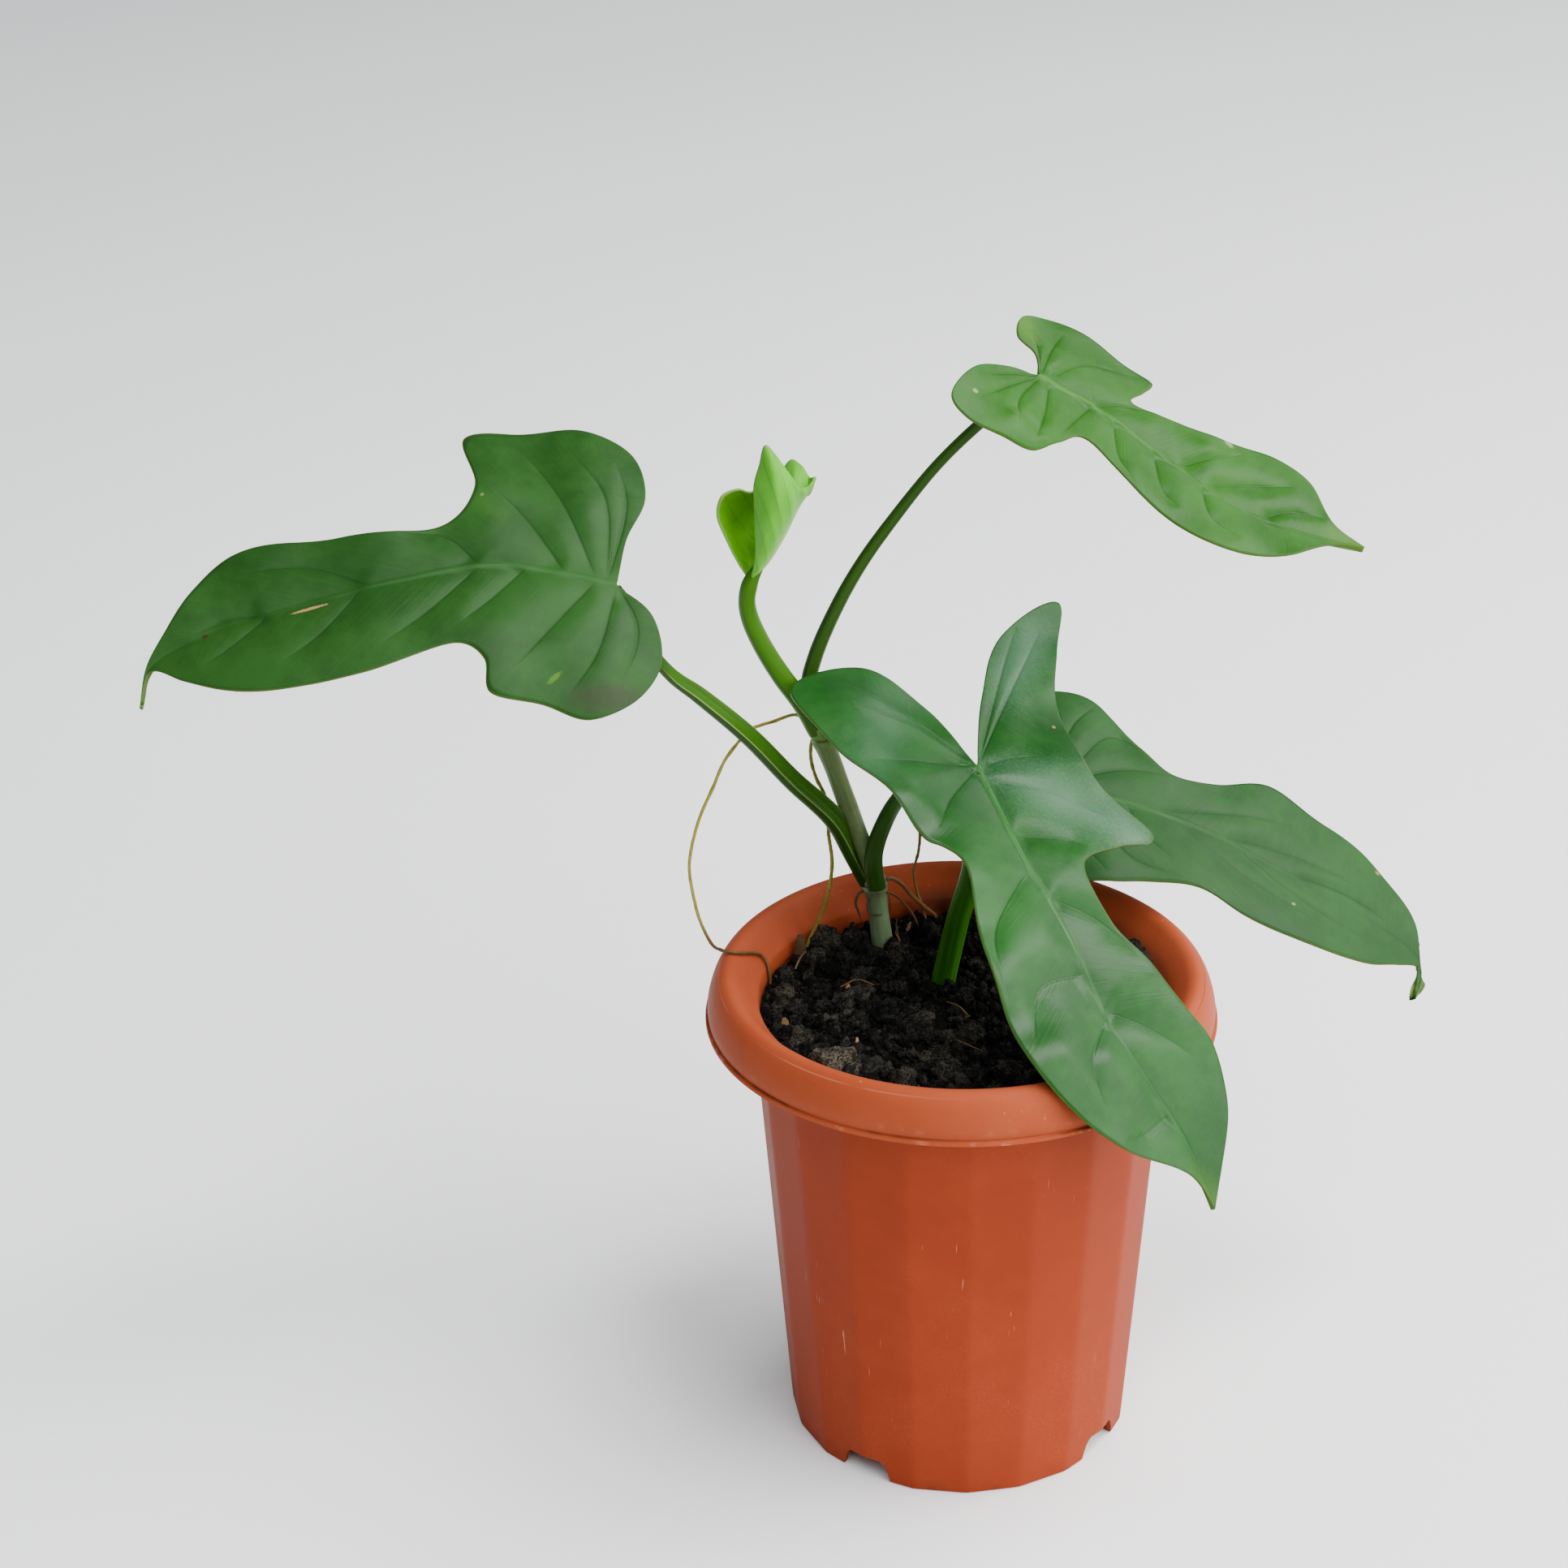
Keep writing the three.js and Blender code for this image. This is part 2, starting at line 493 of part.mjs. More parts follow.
add('leaf_top', leafBlade(TOP_LEAF, BLADE_THICKNESS), COLOURS.leaf);
add('leaf_young', youngBlade(BLADE_THICKNESS), COLOURS.young);
for (const [name, path] of Object.entries(AERIAL_ROOTS)) {
  const cuts = [stemSpace, youngSpace, stalk(TOP_STALK, { grow: GAP })];
  add(name, trimmed(stalk(path, rootShape), cuts), COLOURS.root);
}

// The origin lies under the middle of the whole plant, at the height of the foot
const box = new THREE.Box3().setFromObject(group);
const middle = box.getCenter(new THREE.Vector3());
for (const mesh of group.children) {
  mesh.geometry.translate(-middle.x, -middle.y, -box.min.z);
}

export default group;
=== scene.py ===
import math
import random

import bmesh
import bpy
import numpy as np
from mathutils import Matrix, Vector, noise


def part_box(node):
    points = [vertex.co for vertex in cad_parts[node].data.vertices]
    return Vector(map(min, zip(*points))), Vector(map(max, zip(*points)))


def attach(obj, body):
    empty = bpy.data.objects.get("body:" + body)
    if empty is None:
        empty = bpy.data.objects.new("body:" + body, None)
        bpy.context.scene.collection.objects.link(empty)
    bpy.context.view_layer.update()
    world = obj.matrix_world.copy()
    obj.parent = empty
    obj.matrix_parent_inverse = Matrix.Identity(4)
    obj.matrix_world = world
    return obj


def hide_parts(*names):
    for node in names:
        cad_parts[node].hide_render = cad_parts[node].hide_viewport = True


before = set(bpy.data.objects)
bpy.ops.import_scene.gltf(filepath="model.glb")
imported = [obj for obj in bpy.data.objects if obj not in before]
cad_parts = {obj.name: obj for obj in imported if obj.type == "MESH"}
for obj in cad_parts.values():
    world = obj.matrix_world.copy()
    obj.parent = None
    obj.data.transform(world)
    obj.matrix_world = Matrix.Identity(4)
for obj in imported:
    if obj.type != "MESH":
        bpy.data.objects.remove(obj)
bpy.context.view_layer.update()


# Pot
# One injection-moulded pot of terracotta-coloured plastic, 180 mm across. The tapered wall has 20 flat panels,
# the hollow rim rolls over to a thin lip, and four notches in the foot ring and four holes in the floor let
# water out. Everything else stands in it, so each mesh below is drawn in millimetres about its axis.
pot_low, pot_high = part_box("pot")
TO_FRAME = (
    Matrix.Translation(((pot_low.x + pot_high.x) / 2, (pot_low.y + pot_high.y) / 2, 0))
    @ Matrix.Scale(0.001, 4)
)
PANELS = 20
STEPS_PER_PANEL = 14
PANEL_HALF = math.pi / PANELS
CORNER_SOFTNESS = math.radians(0.8)
FOOT_RADIUS = 61.7
WALL_TOP_RADIUS = 74
WALL_TOP = 168
HOLLOW_FOOT = [(0, 8), (57.4, 8), (58.6, 7.4), (59, 6), (59, 0.6), (59.4, 0), (61.1, 0), (61.7, 0.6)]
ROLL_UNDERSIDE = [
    (74.3, 168.6), (75.6, 170.8), (77.4, 173.6), (79.6, 175.6), (81.5, 176.5), (83.2, 176.5), (84.9, 174.8),
    (86.2, 171.4), (87, 167), (87.4, 163.2), (87.7, 162.9),
]
LIP = [(89.6, 162.9), (90, 163.2), (90, 164), (89.8, 164.3), (89.2, 164.4), (88.8, 164.65), (88.8, 164.9)]
CREST = [
    (89, 165.3), (89.2, 168), (88.4, 172), (86.9, 176), (84.9, 178.8), (82.5, 180), (80, 179.4),
    (77.3, 177), (74.6, 173.9), (72.2, 171.1),
]
INNER_STEP = [(71.6, 170.5), (71.3, 169.8), (70.5, 163.2), (70.7, 162.8)]
INNER_FLOOR = [(59.4, 12.4), (58.6, 10.8), (57, 10.2), (0, 10.2)]
NOTCH_ANGLES = [-126, -36, 54, 144]
NOTCH_HALF = [(10.6, -1), (10, 0.6), (9.3, 3.6), (8.4, 6.1), (7.4, 7.6), (6, 8.5)]
NOTCH_REACH = (50, 70)
DRAIN_ANGLES = [45, 135, 225, 315]
DRAIN_CIRCLE = 36
DRAIN_RADIUS = 4


def smooth_line(points, steps=12):
    """Centripetal spline through the points: its places, and each one's share of the knots and the length."""
    given = np.array(points, float)
    padded = np.vstack([2 * given[0] - given[1], given, 2 * given[-1] - given[-2]])
    places = []
    for a, b, c, d in zip(padded, padded[1:], padded[2:], padded[3:]):
        gap_in, gap, gap_out = (
            max(np.linalg.norm((q - p)[:3]) ** 0.5, 1e-4) for p, q in ((a, b), (b, c), (c, d))
        )
        leave = ((b - a) / gap_in - (c - a) / (gap_in + gap) + (c - b) / gap) * gap
        reach = ((c - b) / gap - (d - b) / (gap + gap_out) + (d - c) / gap_out) * gap
        for t in np.arange(steps) / steps:
            places.append(
                b + leave * t + (3 * (c - b) - 2 * leave - reach) * t * t + (2 * (b - c) + leave + reach) * t ** 3
            )
    places.append(given[-1])
    places = np.array(places)
    lengths = np.concatenate([[0], np.cumsum(np.linalg.norm(np.diff(places[:, :3], axis=0), axis=1))])
    return places, np.linspace(0, 1, len(places)), lengths / lengths[-1]


def turned(degrees, axis):
    return Matrix.Rotation(math.radians(degrees), 4, axis)


def new_object(name, bm):
    """Turn a finished mesh into an object of the scene."""
    mesh = bpy.data.meshes.new(name)
    bm.to_mesh(mesh)
    bm.free()
    made = bpy.data.objects.new(name, mesh)
    bpy.context.scene.collection.objects.link(made)
    return made


def add_piece(name, bm, slot, skins, *nodes, sharp=35):
    """Put a mesh drawn in millimetres about the pot's axis into the frame, as one riding piece."""
    bmesh.ops.transform(bm, matrix=TO_FRAME, verts=bm.verts)
    piece = new_object(name, bm)
    piece.data.shade_smooth()
    piece.data.set_sharp_from_angle(angle=math.radians(sharp))
    for skin in skins:
        piece.data.materials.append(skin)
    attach(piece, "root")
    if nodes:
        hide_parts(*nodes)
    return piece


def apply_modifiers(piece):
    """Replace a piece's mesh by what its modifiers make of it."""
    evaluated = piece.evaluated_get(bpy.context.evaluated_depsgraph_get())
    finished = bpy.data.meshes.new_from_object(evaluated)
    piece.modifiers.clear()
    piece.data = finished


def is_link(value):
    return isinstance(value, bpy.types.NodeSocket)


def add_node(tree, kind, inputs=None, **settings):
    """Add a shader node with its settings, and with values or links on its inputs."""
    made = tree.nodes.new("ShaderNode" + kind)
    for key, value in settings.items():
        setattr(made, key, value)
    for key, value in (inputs or {}).items():
        if is_link(value):
            tree.links.new(value, made.inputs[key])
        else:
            made.inputs[key].default_value = value
    return made


# Each of the next helpers adds its node to the tree that its first link comes from
def calculate(operation, a, b=0.0):
    tree = (a if is_link(a) else b).id_data
    return add_node(tree, "Math", {0: a, 1: b}, operation=operation).outputs[0]


def plus(a, b):
    return calculate("ADD", a, b)


def minus(a, b):
    return calculate("SUBTRACT", a, b)


def times(a, b):
    return calculate("MULTIPLY", a, b)


def gap_between(a, b):
    return calculate("ABSOLUTE", minus(a, b))


def length_of(vector):
    return add_node(vector.id_data, "VectorMath", {0: vector}, operation="LENGTH").outputs["Value"]


def mapped(vector, shift=(0, 0, 0), scale=(1, 1, 1)):
    return add_node(vector.id_data, "Mapping", {0: vector, 1: shift, 3: scale}).outputs[0]


def span(value, low, high, out_low=0.0, out_high=1.0, kind="SMOOTHSTEP"):
    """Map a value from one range to another, held at both ends."""
    inputs = {0: value, 1: low, 2: high, 3: out_low, 4: out_high}
    return add_node(value.id_data, "MapRange", inputs, interpolation_type=kind).outputs[0]


def split(vector):
    return add_node(vector.id_data, "SeparateXYZ", {0: vector}).outputs


def blend(mask, a, b):
    """Mix two colours by a mask."""
    a, b = (value if is_link(value) else (*value, 1) for value in (a, b))
    return add_node(mask.id_data, "Mix", {0: mask, 6: a, 7: b}, data_type="RGBA").outputs[2]


def paint(colour, mask, strength, tint):
    """Lay a tint over a colour where the mask says, at a strength."""
    return blend(times(mask, strength), colour, tint)


def cloud(vector, scale, detail=3.0, roughness=0.55):
    inputs = {"Vector": vector, "Scale": scale, "Detail": detail, "Roughness": roughness}
    return add_node(vector.id_data, "TexNoise", inputs).outputs[0]


def use_group(group, **inputs):
    """Place a node group with its own values."""
    return add_node(inputs["Vector"].id_data, "Group", inputs, node_tree=group).outputs[0]


def new_group(name, inputs):
    """Start a node group that turns vector and float inputs into one float."""
    group = bpy.data.node_groups.new(name, "ShaderNodeTree")
    for label in inputs:
        kind = "NodeSocketVector" if label == "Vector" else "NodeSocketFloat"
        group.interface.new_socket(label, in_out="INPUT", socket_type=kind)
    group.interface.new_socket("Value", in_out="OUTPUT", socket_type="NodeSocketFloat")
    return group, group.nodes.new("NodeGroupInput").outputs


def end_group(value):
    result = value.id_data.nodes.new("NodeGroupOutput")
    value.id_data.links.new(value, result.inputs[0])


def new_material(name, roughness=0.5, specular=0.5):
    """Start a material, and give its place on the object in metres."""
    material = bpy.data.materials.new(name)
    material.use_nodes = True
    sockets = material.node_tree.nodes["Principled BSDF"].inputs
    sockets["Roughness"].default_value = roughness
    sockets["Specular IOR Level"].default_value = specular
    return material, add_node(material.node_tree, "TexCoord").outputs["Object"]


def set_surface(colour, height=None, strength=1.0, distance=0.001, rough=None):
    """Feed colour, relief and roughness to the shader."""
    tree = colour.id_data
    sockets = tree.nodes["Principled BSDF"].inputs
    tree.links.new(colour, sockets["Base Color"])
    if height:
        bump = add_node(tree, "Bump", {"Strength": strength, "Distance": distance, "Height": height})
        tree.links.new(bump.outputs[0], sockets["Normal"])
    if rough:
        tree.links.new(rough, sockets["Roughness"])


# Round flecks scattered over a surface: dirt, scars, pale dots and grit
specks, given = new_group("Specks", ["Vector", "Scale", "Share", "Size"])
cells = add_node(specks, "TexVoronoi", {"Vector": given["Vector"], "Scale": given["Scale"]}).outputs
cell_value = add_node(specks, "SeparateColor", {0: cells["Color"]}).outputs[0]
picked = calculate("LESS_THAN", cell_value, given["Share"])
end_group(times(picked, span(cells["Distance"], given["Size"], 0.0)))

# Cloudy unevenness of colour and gloss: broad patches with finer ones inside
mottle, given = new_group("Mottle", ["Vector", "Scale"])
broad = cloud(given["Vector"], given["Scale"], 2.0)
fine = cloud(given["Vector"], times(given["Scale"], 6.3), 3.0, 0.6)
end_group(plus(times(broad, 0.7), times(fine, 0.3)))

bm = bmesh.new()
wall = [
    (FOOT_RADIUS + (WALL_TOP_RADIUS - FOOT_RADIUS) * z / WALL_TOP, z)
    for z in (3, 8, 20, 40, 60, 80, 100, 120, 140, 155, 163)
]
crest = [tuple(place) for place in smooth_line(CREST, 4)[0]]
profile = HOLLOW_FOOT + wall + ROLL_UNDERSIDE + LIP + crest + INNER_STEP + INNER_FLOOR
points = [bm.verts.new((0, -radius, z)) for radius, z in profile]
edges = [bm.edges.new(pair) for pair in zip(points, points[1:])]
bmesh.ops.spin(
    bm, geom=points + edges, axis=(0, 0, 1), cent=(0, 0, 0), dvec=(0, 0, 0),
    angle=2 * math.pi, steps=PANELS * STEPS_PER_PANEL, use_merge=True,
)
bmesh.ops.remove_doubles(bm, verts=bm.verts, dist=1e-4)
# Only the outside of the wall under the rim is drawn in to flat panels
for vert in bm.verts:
    radius = vert.co.xy.length
    inside = radius < FOOT_RADIUS - 0.7 + 0.07 * vert.co.z
    if inside or radius > WALL_TOP_RADIUS + 1 or vert.co.z > WALL_TOP + 0.7:
        continue
    angle = (math.atan2(vert.co.y, vert.co.x) + math.pi / 2) % (2 * PANEL_HALF)
    from_corner = min(angle, 2 * PANEL_HALF - angle)
    turn = PANEL_HALF - math.hypot(from_corner, CORNER_SOFTNESS)
    share = math.cos(PANEL_HALF) / math.cos(turn)
    vert.co.x *= share
    vert.co.y *= share
bmesh.ops.recalc_face_normals(bm, faces=bm.faces)

pot_skin, place = new_material("pot_plastic", specular=0.07)
from_axis = mapped(place, -TO_FRAME.translation)
height_above = split(place)[2]
radius_here = length_of(mapped(place, -TO_FRAME.translation, (1, 1, 0)))
patches = use_group(mottle, Vector=place, Scale=14.0)
clouded = span(patches, 0.35, 0.65)
wall_colour = blend(clouded, (0.207, 0.0250, 0.0058), (0.234, 0.0305, 0.0078))
# The rim and lip are painted lighter than the wall: painted light falling on them from above
top_lit_rim_colour = blend(clouded, (0.262, 0.0440, 0.0145), (0.288, 0.0525, 0.0185))
colour = blend(span(height_above, 0.1622, 0.1630), wall_colour, top_lit_rim_colour)
on_left = span(split(from_axis)[0], 0.005, -0.045)
on_right = span(on_left, 0.6, 0.1)
# Short upright scratches, in a few areas only
scratch_field = cloud(mapped(place, scale=(1100, 1100, 30)), 1.0, 2.0, 0.5)
scratches = times(span(scratch_field, 0.69, 0.78), span(cloud(place, 26.0, 2.0), 0.52, 0.62))
dust = times(span(cloud(place, 1300.0, 2.0, 0.6), 0.45, 0.75), span(patches, 0.5, 0.7))
dark_specks = use_group(specks, Vector=place, Scale=70.0, Share=0.012, Size=0.035)
pale_specks = use_group(specks, Vector=place, Scale=130.0, Share=0.016, Size=0.06)
# Painted highlight: a broken pale line along the lip's outer edge
lip_highlight_gaps = span(cloud(place, 150.0, 4.0, 0.65), 0.52, 0.66)
lip_highlight = times(span(radius_here, 0.0890, 0.0897), lip_highlight_gaps)
# The moulding seam on the crest is a pale scuffed line on the left, and at the back right a dark line of painted
# shade
seam = times(span(gap_between(radius_here, 0.0851), 0.00022, 0.00008), span(height_above, 0.170, 0.174))
seam_shade = times(seam, times(on_right, span(split(from_axis)[1], -0.045, -0.02)))
pale_seam = times(seam, times(span(cloud(place, 24.0, 2.0), 0.44, 0.56), on_left))
# Painted shade in patches in the groove under the rim, on the left side
groove = times(span(height_above, 0.1642, 0.1646), span(height_above, 0.1658, 0.1652))
groove_shade = times(groove, times(span(cloud(place, 70.0), 0.40, 0.6), on_left))
# Painted shade: the inside of the wall on the right is darkened down toward the soil
inner_wall_shade = times(span(radius_here, 0.0765, 0.0730), span(height_above, 0.1785, 0.1690))
inner_wall_shade = times(inner_wall_shade, times(on_right, span(height_above, 0.1640, 0.1660)))
# The pot is darker in patches towards its foot
darker_foot = times(span(height_above, 0.007, 0.0), span(cloud(place, 120.0), 0.45, 0.7))
# Pale scuffed colour of worn plastic, also used for the painted highlight on the lip
SCUFF_AND_HIGHLIGHT = (0.62, 0.26, 0.16)
for mask, strength, tint in (
    (dust, 0.07, SCUFF_AND_HIGHLIGHT),
    (scratches, 0.5, SCUFF_AND_HIGHLIGHT),
    (pale_specks, 0.55, SCUFF_AND_HIGHLIGHT),
    (lip_highlight, 0.3, SCUFF_AND_HIGHLIGHT),
    (pale_seam, 0.22, SCUFF_AND_HIGHLIGHT),
    (seam_shade, 0.55, (0.10, 0.018, 0.007)),
    (dark_specks, 0.8, (0.05, 0.012, 0.006)),
    (darker_foot, 0.5, (0.09, 0.02, 0.01)),
    (inner_wall_shade, 0.7, (0.055, 0.016, 0.009)),
    (groove_shade, 0.6, (0.03, 0.012, 0.007)),
):
    colour = paint(colour, mask, strength, tint)
rough = plus(span(patches, 0.3, 0.7, 0.48, 0.56), times(scratches, 0.2))
relief = plus(cloud(place, 900.0, 3.0), times(scratches, -1.5))
set_surface(colour, relief, 0.22, 0.0002, rough)

pot = add_piece("pot_body", bm, "pot", [pot_skin], "pot")
bm = bmesh.new()
for angle in NOTCH_ANGLES:
    half = [bm.verts.new((NOTCH_REACH[0], x, z)) for x, z in NOTCH_HALF]
    far = [bm.verts.new((NOTCH_REACH[0], -x, z)) for x, z in reversed(NOTCH_HALF)]
    face = bm.faces.new(half + far)
    grown = bmesh.ops.extrude_face_region(bm, geom=[face])["geom"]
    corners = [part for part in grown if isinstance(part, bmesh.types.BMVert)]
    bmesh.ops.translate(bm, verts=corners, vec=(NOTCH_REACH[1] - NOTCH_REACH[0], 0, 0))
    bmesh.ops.transform(bm, verts=half + far + corners, matrix=turned(angle, "Z"))
for angle in DRAIN_ANGLES:
    centre = turned(angle, "Z") @ Matrix.Translation((DRAIN_CIRCLE, 0, 9))
    bmesh.ops.create_cone(
        bm, segments=28, radius1=DRAIN_RADIUS, radius2=DRAIN_RADIUS, depth=6, cap_ends=True, matrix=centre
    )
bmesh.ops.recalc_face_normals(bm, faces=bm.faces)
bmesh.ops.transform(bm, matrix=TO_FRAME, verts=bm.verts)
cutter = new_object("drain_cutter", bm)
cut = pot.modifiers.new("drain", "BOOLEAN")
cut.object = cutter
cut.operation = "DIFFERENCE"
cut.solver = "EXACT"
apply_modifiers(pot)
bpy.data.objects.remove(cutter)
pot.data.set_sharp_from_angle(angle=math.radians(35))


# Soil
# Loose black peat mix fills the pot to 14 mm under the rim, and a little higher at the right wall: a crumbly bed
# with thousands of loose crumbs and lumps on it and a few grey pumice stones. The stems stand in it.
SOIL_RADIUS = 70.6
SOIL_BASE_RADIUS = 58.7
SOIL_BASE = 10.5
SOIL_TOP = 166
HEAP_RISE = 4.5
HEAP_PLACE = (66, 10)
BED_CELLS = 190
BED_DROP = 0.8
random.seed(7)


def soil_height(x, y):
    lumps = math.sin(x / 9 + 1) * math.cos(y / 8) + 0.5 * math.sin((x + 2 * y) / 7)
    heap_at_wall = HEAP_RISE * math.exp(-((x - HEAP_PLACE[0]) ** 2 + (y - HEAP_PLACE[1]) ** 2) / 260)
    return SOIL_TOP + 0.9 * lumps - 0.015 * (y - 0.6 * x) + heap_at_wall


def read_field(place, name):
    """A number that the piece's mesh holds at each vertex."""
    return add_node(place.id_data, "Attribute", attribute_name=name).outputs["Fac"]


def crumble(x, y):
    """Relief of the loose bed over its even height: packed crumbs of two sizes on broader humps."""
    place = Vector((x, y, 0))
    humps = 1.2 * noise.fractal(place / 8, 0.8, 2.1, 2)
    return humps + 2.1 * (0.45 - noise.voronoi(place / 4.4)[0][0]) + 0.9 * (0.45 - noise.voronoi(place / 1.8)[0][0])


bm = bmesh.new()
bmesh.ops.create_grid(bm, x_segments=BED_CELLS, y_segments=BED_CELLS, size=1)
for vert in bm.verts:
    x, y = vert.co.xy
    x, y = x * math.sqrt(1 - y * y / 2) * SOIL_RADIUS, y * math.sqrt(1 - x * x / 2) * SOIL_RADIUS
    vert.co = (x, y, soil_height(x, y) + crumble(x, y) - BED_DROP)
border = [edge for edge in bm.edges if edge.is_boundary]
grown = bmesh.ops.extrude_edge_only(bm, edges=border)["geom"]
for vert in grown:
    if isinstance(vert, bmesh.types.BMVert):
        vert.co = (*(vert.co.xy.normalized() * SOIL_BASE_RADIUS), SOIL_BASE)
bmesh.ops.holes_fill(bm, edges=[edge for edge in bm.edges if edge.is_boundary])
bmesh.ops.recalc_face_normals(bm, faces=bm.faces)

soil_skin, place = new_material("potting_mix", roughness=0.95, specular=0.1)
shade = read_field(place, "shade")
patches = use_group(mottle, Vector=place, Scale=160.0)
grain = cloud(place, 1250.0, 4.0, 0.75)
tone = plus(times(patches, 0.45), times(grain, 0.55))
# The bed, seen in the gaps between crumbs, and the darkest crumbs are near-black: dark peat, with painted shade in
# the gaps
colour = blend(span(tone, 0.44, 0.60), (0.0016, 0.0015, 0.0013), (0.009, 0.0084, 0.007))
for low, high, dim, bright in (
    (0.12, 0.50, (0.0038, 0.0036, 0.0031), (0.046, 0.043, 0.037)),
    (0.56, 0.78, (0.010, 0.0088, 0.0066), (0.100, 0.089, 0.067)),
    (0.80, 1.00, (0.018, 0.015, 0.010), (0.190, 0.165, 0.120)),
):
    crumb = blend(span(tone, 0.43, 0.61), dim, bright)
    colour = blend(span(shade, low, high), colour, crumb)
# Painted shade: the pits in crumbs and stones are painted near-black
shaded_pits = use_group(specks, Vector=place, Scale=850.0, Share=0.55, Size=0.5)
colour = paint(colour, shaded_pits, 0.8, (0.0022, 0.002, 0.0018))
grit = use_group(specks, Vector=place, Scale=1000.0, Share=0.02, Size=0.4)
colour = paint(colour, grit, 0.6, (0.17, 0.13, 0.08))
relief = minus(times(grain, 1.2), times(shaded_pits, 0.8))
set_surface(colour, relief, 1.0, 0.0022)
add_piece("soil_bed", bm, "soil", [soil_skin], "soil", sharp=180)

# Where stems and stalks come out of the soil, and how wide they are
SOIL_EXITS = [(-25.9, 50, 4.4), (-5, 20, 4.8)]


def crumb_shapes(count, subdivisions, roughness):
    """Meshes of broken soil crumbs, a millimetre in radius."""
    shapes = []
    for k in range(count):
        bm = bmesh.new()
        bmesh.ops.create_icosphere(bm, subdivisions=subdivisions, radius=1)
        stretch = Vector([random.uniform(0.7, 1.25) for _ in range(3)])
        for vert in bm.verts:
            seed = vert.co * 1.3 + Vector((k * 7.3, k * 3.1, 0))
            knobs = 0.55 * (0.45 - noise.voronoi(seed * 1.9)[0][0])
            vert.co = vert.co * stretch * (1 + roughness * noise.fractal(seed, 0.7, 2.2, 4) + knobs)
        mesh = bpy.data.meshes.new("crumb_shape")
        bm.to_mesh(mesh)
        bm.free()
        mesh.attributes.new("shade", "FLOAT", "POINT")
        shapes.append(mesh)
    return shapes


def scatter(bm, shapes, count, smallest, largest, dark, pale, places=None):
    """Lay crumbs on the bed at seeded random places, each with its own size, turn and shade."""
    for k in range(count):
        size = smallest * (largest / smallest) ** (random.random() ** 2.2)
        reach = (SOIL_RADIUS - size * 0.9) * math.sqrt(random.random())
        angle = random.uniform(0, 2 * math.pi)
        x, y = reach * math.cos(angle), reach * math.sin(angle)
        shade = random.uniform(dark, pale)
        lift = random.uniform(0.05, 0.55)
        if places:
            x, y, size, shade, lift = places[k]
        if any(math.hypot(x - a, y - b) < r + 0.5 * size for a, b, r in SOIL_EXITS):
            continue
        shape = random.choice(shapes)
        lift = soil_height(x, y) + crumble(x, y) - BED_DROP + size * lift
        turn = Matrix.Rotation(random.uniform(0, 6.28), 4, "X") @ Matrix.Rotation(random.uniform(0, 6.28), 4, "Z")
        moved = shape.copy()
        moved.transform(Matrix.Translation((x, y, lift)) @ turn @ Matrix.Scale(size, 4))
        moved.attributes["shade"].data.foreach_set("value", [shade] * len(moved.vertices))
        bm.from_mesh(moved)
        bpy.data.meshes.remove(moved)


bm = bmesh.new()
scatter(bm, crumb_shapes(14, 2, 0.8), 1900, 1.0, 2.7, 0.05, 0.70)
# The pale pumice stones and the largest lumps: place, radius, shade and the share of the radius they stand up
STONES = [
    (-44.5, -45.5, 6.6, 1.0, 0.65), (-62, 9, 4.6, 0.86, 0.4), (-63, 0, 4.2, 0.8, 0.3), (-57, -24, 5.6, 0.74, 0.3),
    (-50, 33, 4.6, 0.78, 0.4), (-9, -42, 5.2, 0.72, 0.4), (0, -24, 5.4, 0.72, 0.3), (14, -50, 4.4, 0.72, 0.4),
    (-34, -46, 4.6, 0.62, 0.4), (-38, 4, 4.6, 0.84, 0.05), (-40, -2, 3.4, 0.78, 0.1), (-23, 31, 3.8, 0.74, 0.4),
    (-46, 44, 5.4, 0.78, 0.6), (-15, -13, 4.2, 0.72, 0.4), (26, -44, 4, 0.7, 0.4), (34, -10, 4.4, 0.74, 0.4),
    (40, 22, 4.2, 0.74, 0.4), (12, 44, 4.4, 0.76, 0.4), (52, -20, 5, 0.72, 0.4), (-22, -54, 4.6, 0.72, 0.4),
    (57, 30, 5.2, 0.4, 0.85), (61.5, 20.5, 5.2, 0.3, 0.9), (64.5, 10, 4.6, 0.4, 0.85), (52, 37, 4.8, 0.3, 0.7),
    (54, 22, 4.6, 0.5, 0.5),
]
scatter(bm, crumb_shapes(6, 3, 0.45), len(STONES), 1, 1, 0, 0, STONES)
add_piece("soil_lumps", bm, "soil", [soil_skin], sharp=180)
bm = bmesh.new()
scatter(bm, crumb_shapes(8, 3, 0.75), 230, 2.0, 4.2, 0.15, 0.76)
add_piece("soil_clods", bm, "soil", [soil_skin], sharp=180)
bm = bmesh.new()
scatter(bm, crumb_shapes(12, 1, 0.6), 8000, 0.35, 1.25, 0.0, 0.86)
add_piece("soil_crumbs", bm, "soil", [soil_skin], sharp=180)


# Stem
# One upright waxy grey-green stem, 7 to 8 mm thick, rooted in the soil. A brown scar runs round it at each node,
# where it bulges; the part over the upper node is fresh green. A few dark dry hairs cling to its foot.
STEM = [
    (-24, 50, 142, 3.9), (-25.8, 50, 163, 3.9), (-27.8, 50, 182, 3.8), (-28.6, 50, 188, 4.5), (-29.4, 50, 192, 4.1),
    (-32, 50, 201, 3.6), (-38, 51, 219.5, 3.5), (-43.5, 52, 236.5, 3.5), (-47, 52, 246, 3.8),
    (-48.8, 52, 250.6, 3.4),
]
LOWER_NODE = 188
UPPER_NODE = 246
SCAR_RISE = 0.4


def read_line(line, shares, by_length=False):
    """Places on a smooth line at the given shares of its knots, or of its length."""
    places, knots, lengths = line
    base = lengths if by_length else knots
    return np.stack([np.interp(shares, base, column) for column in places.T], axis=-1)


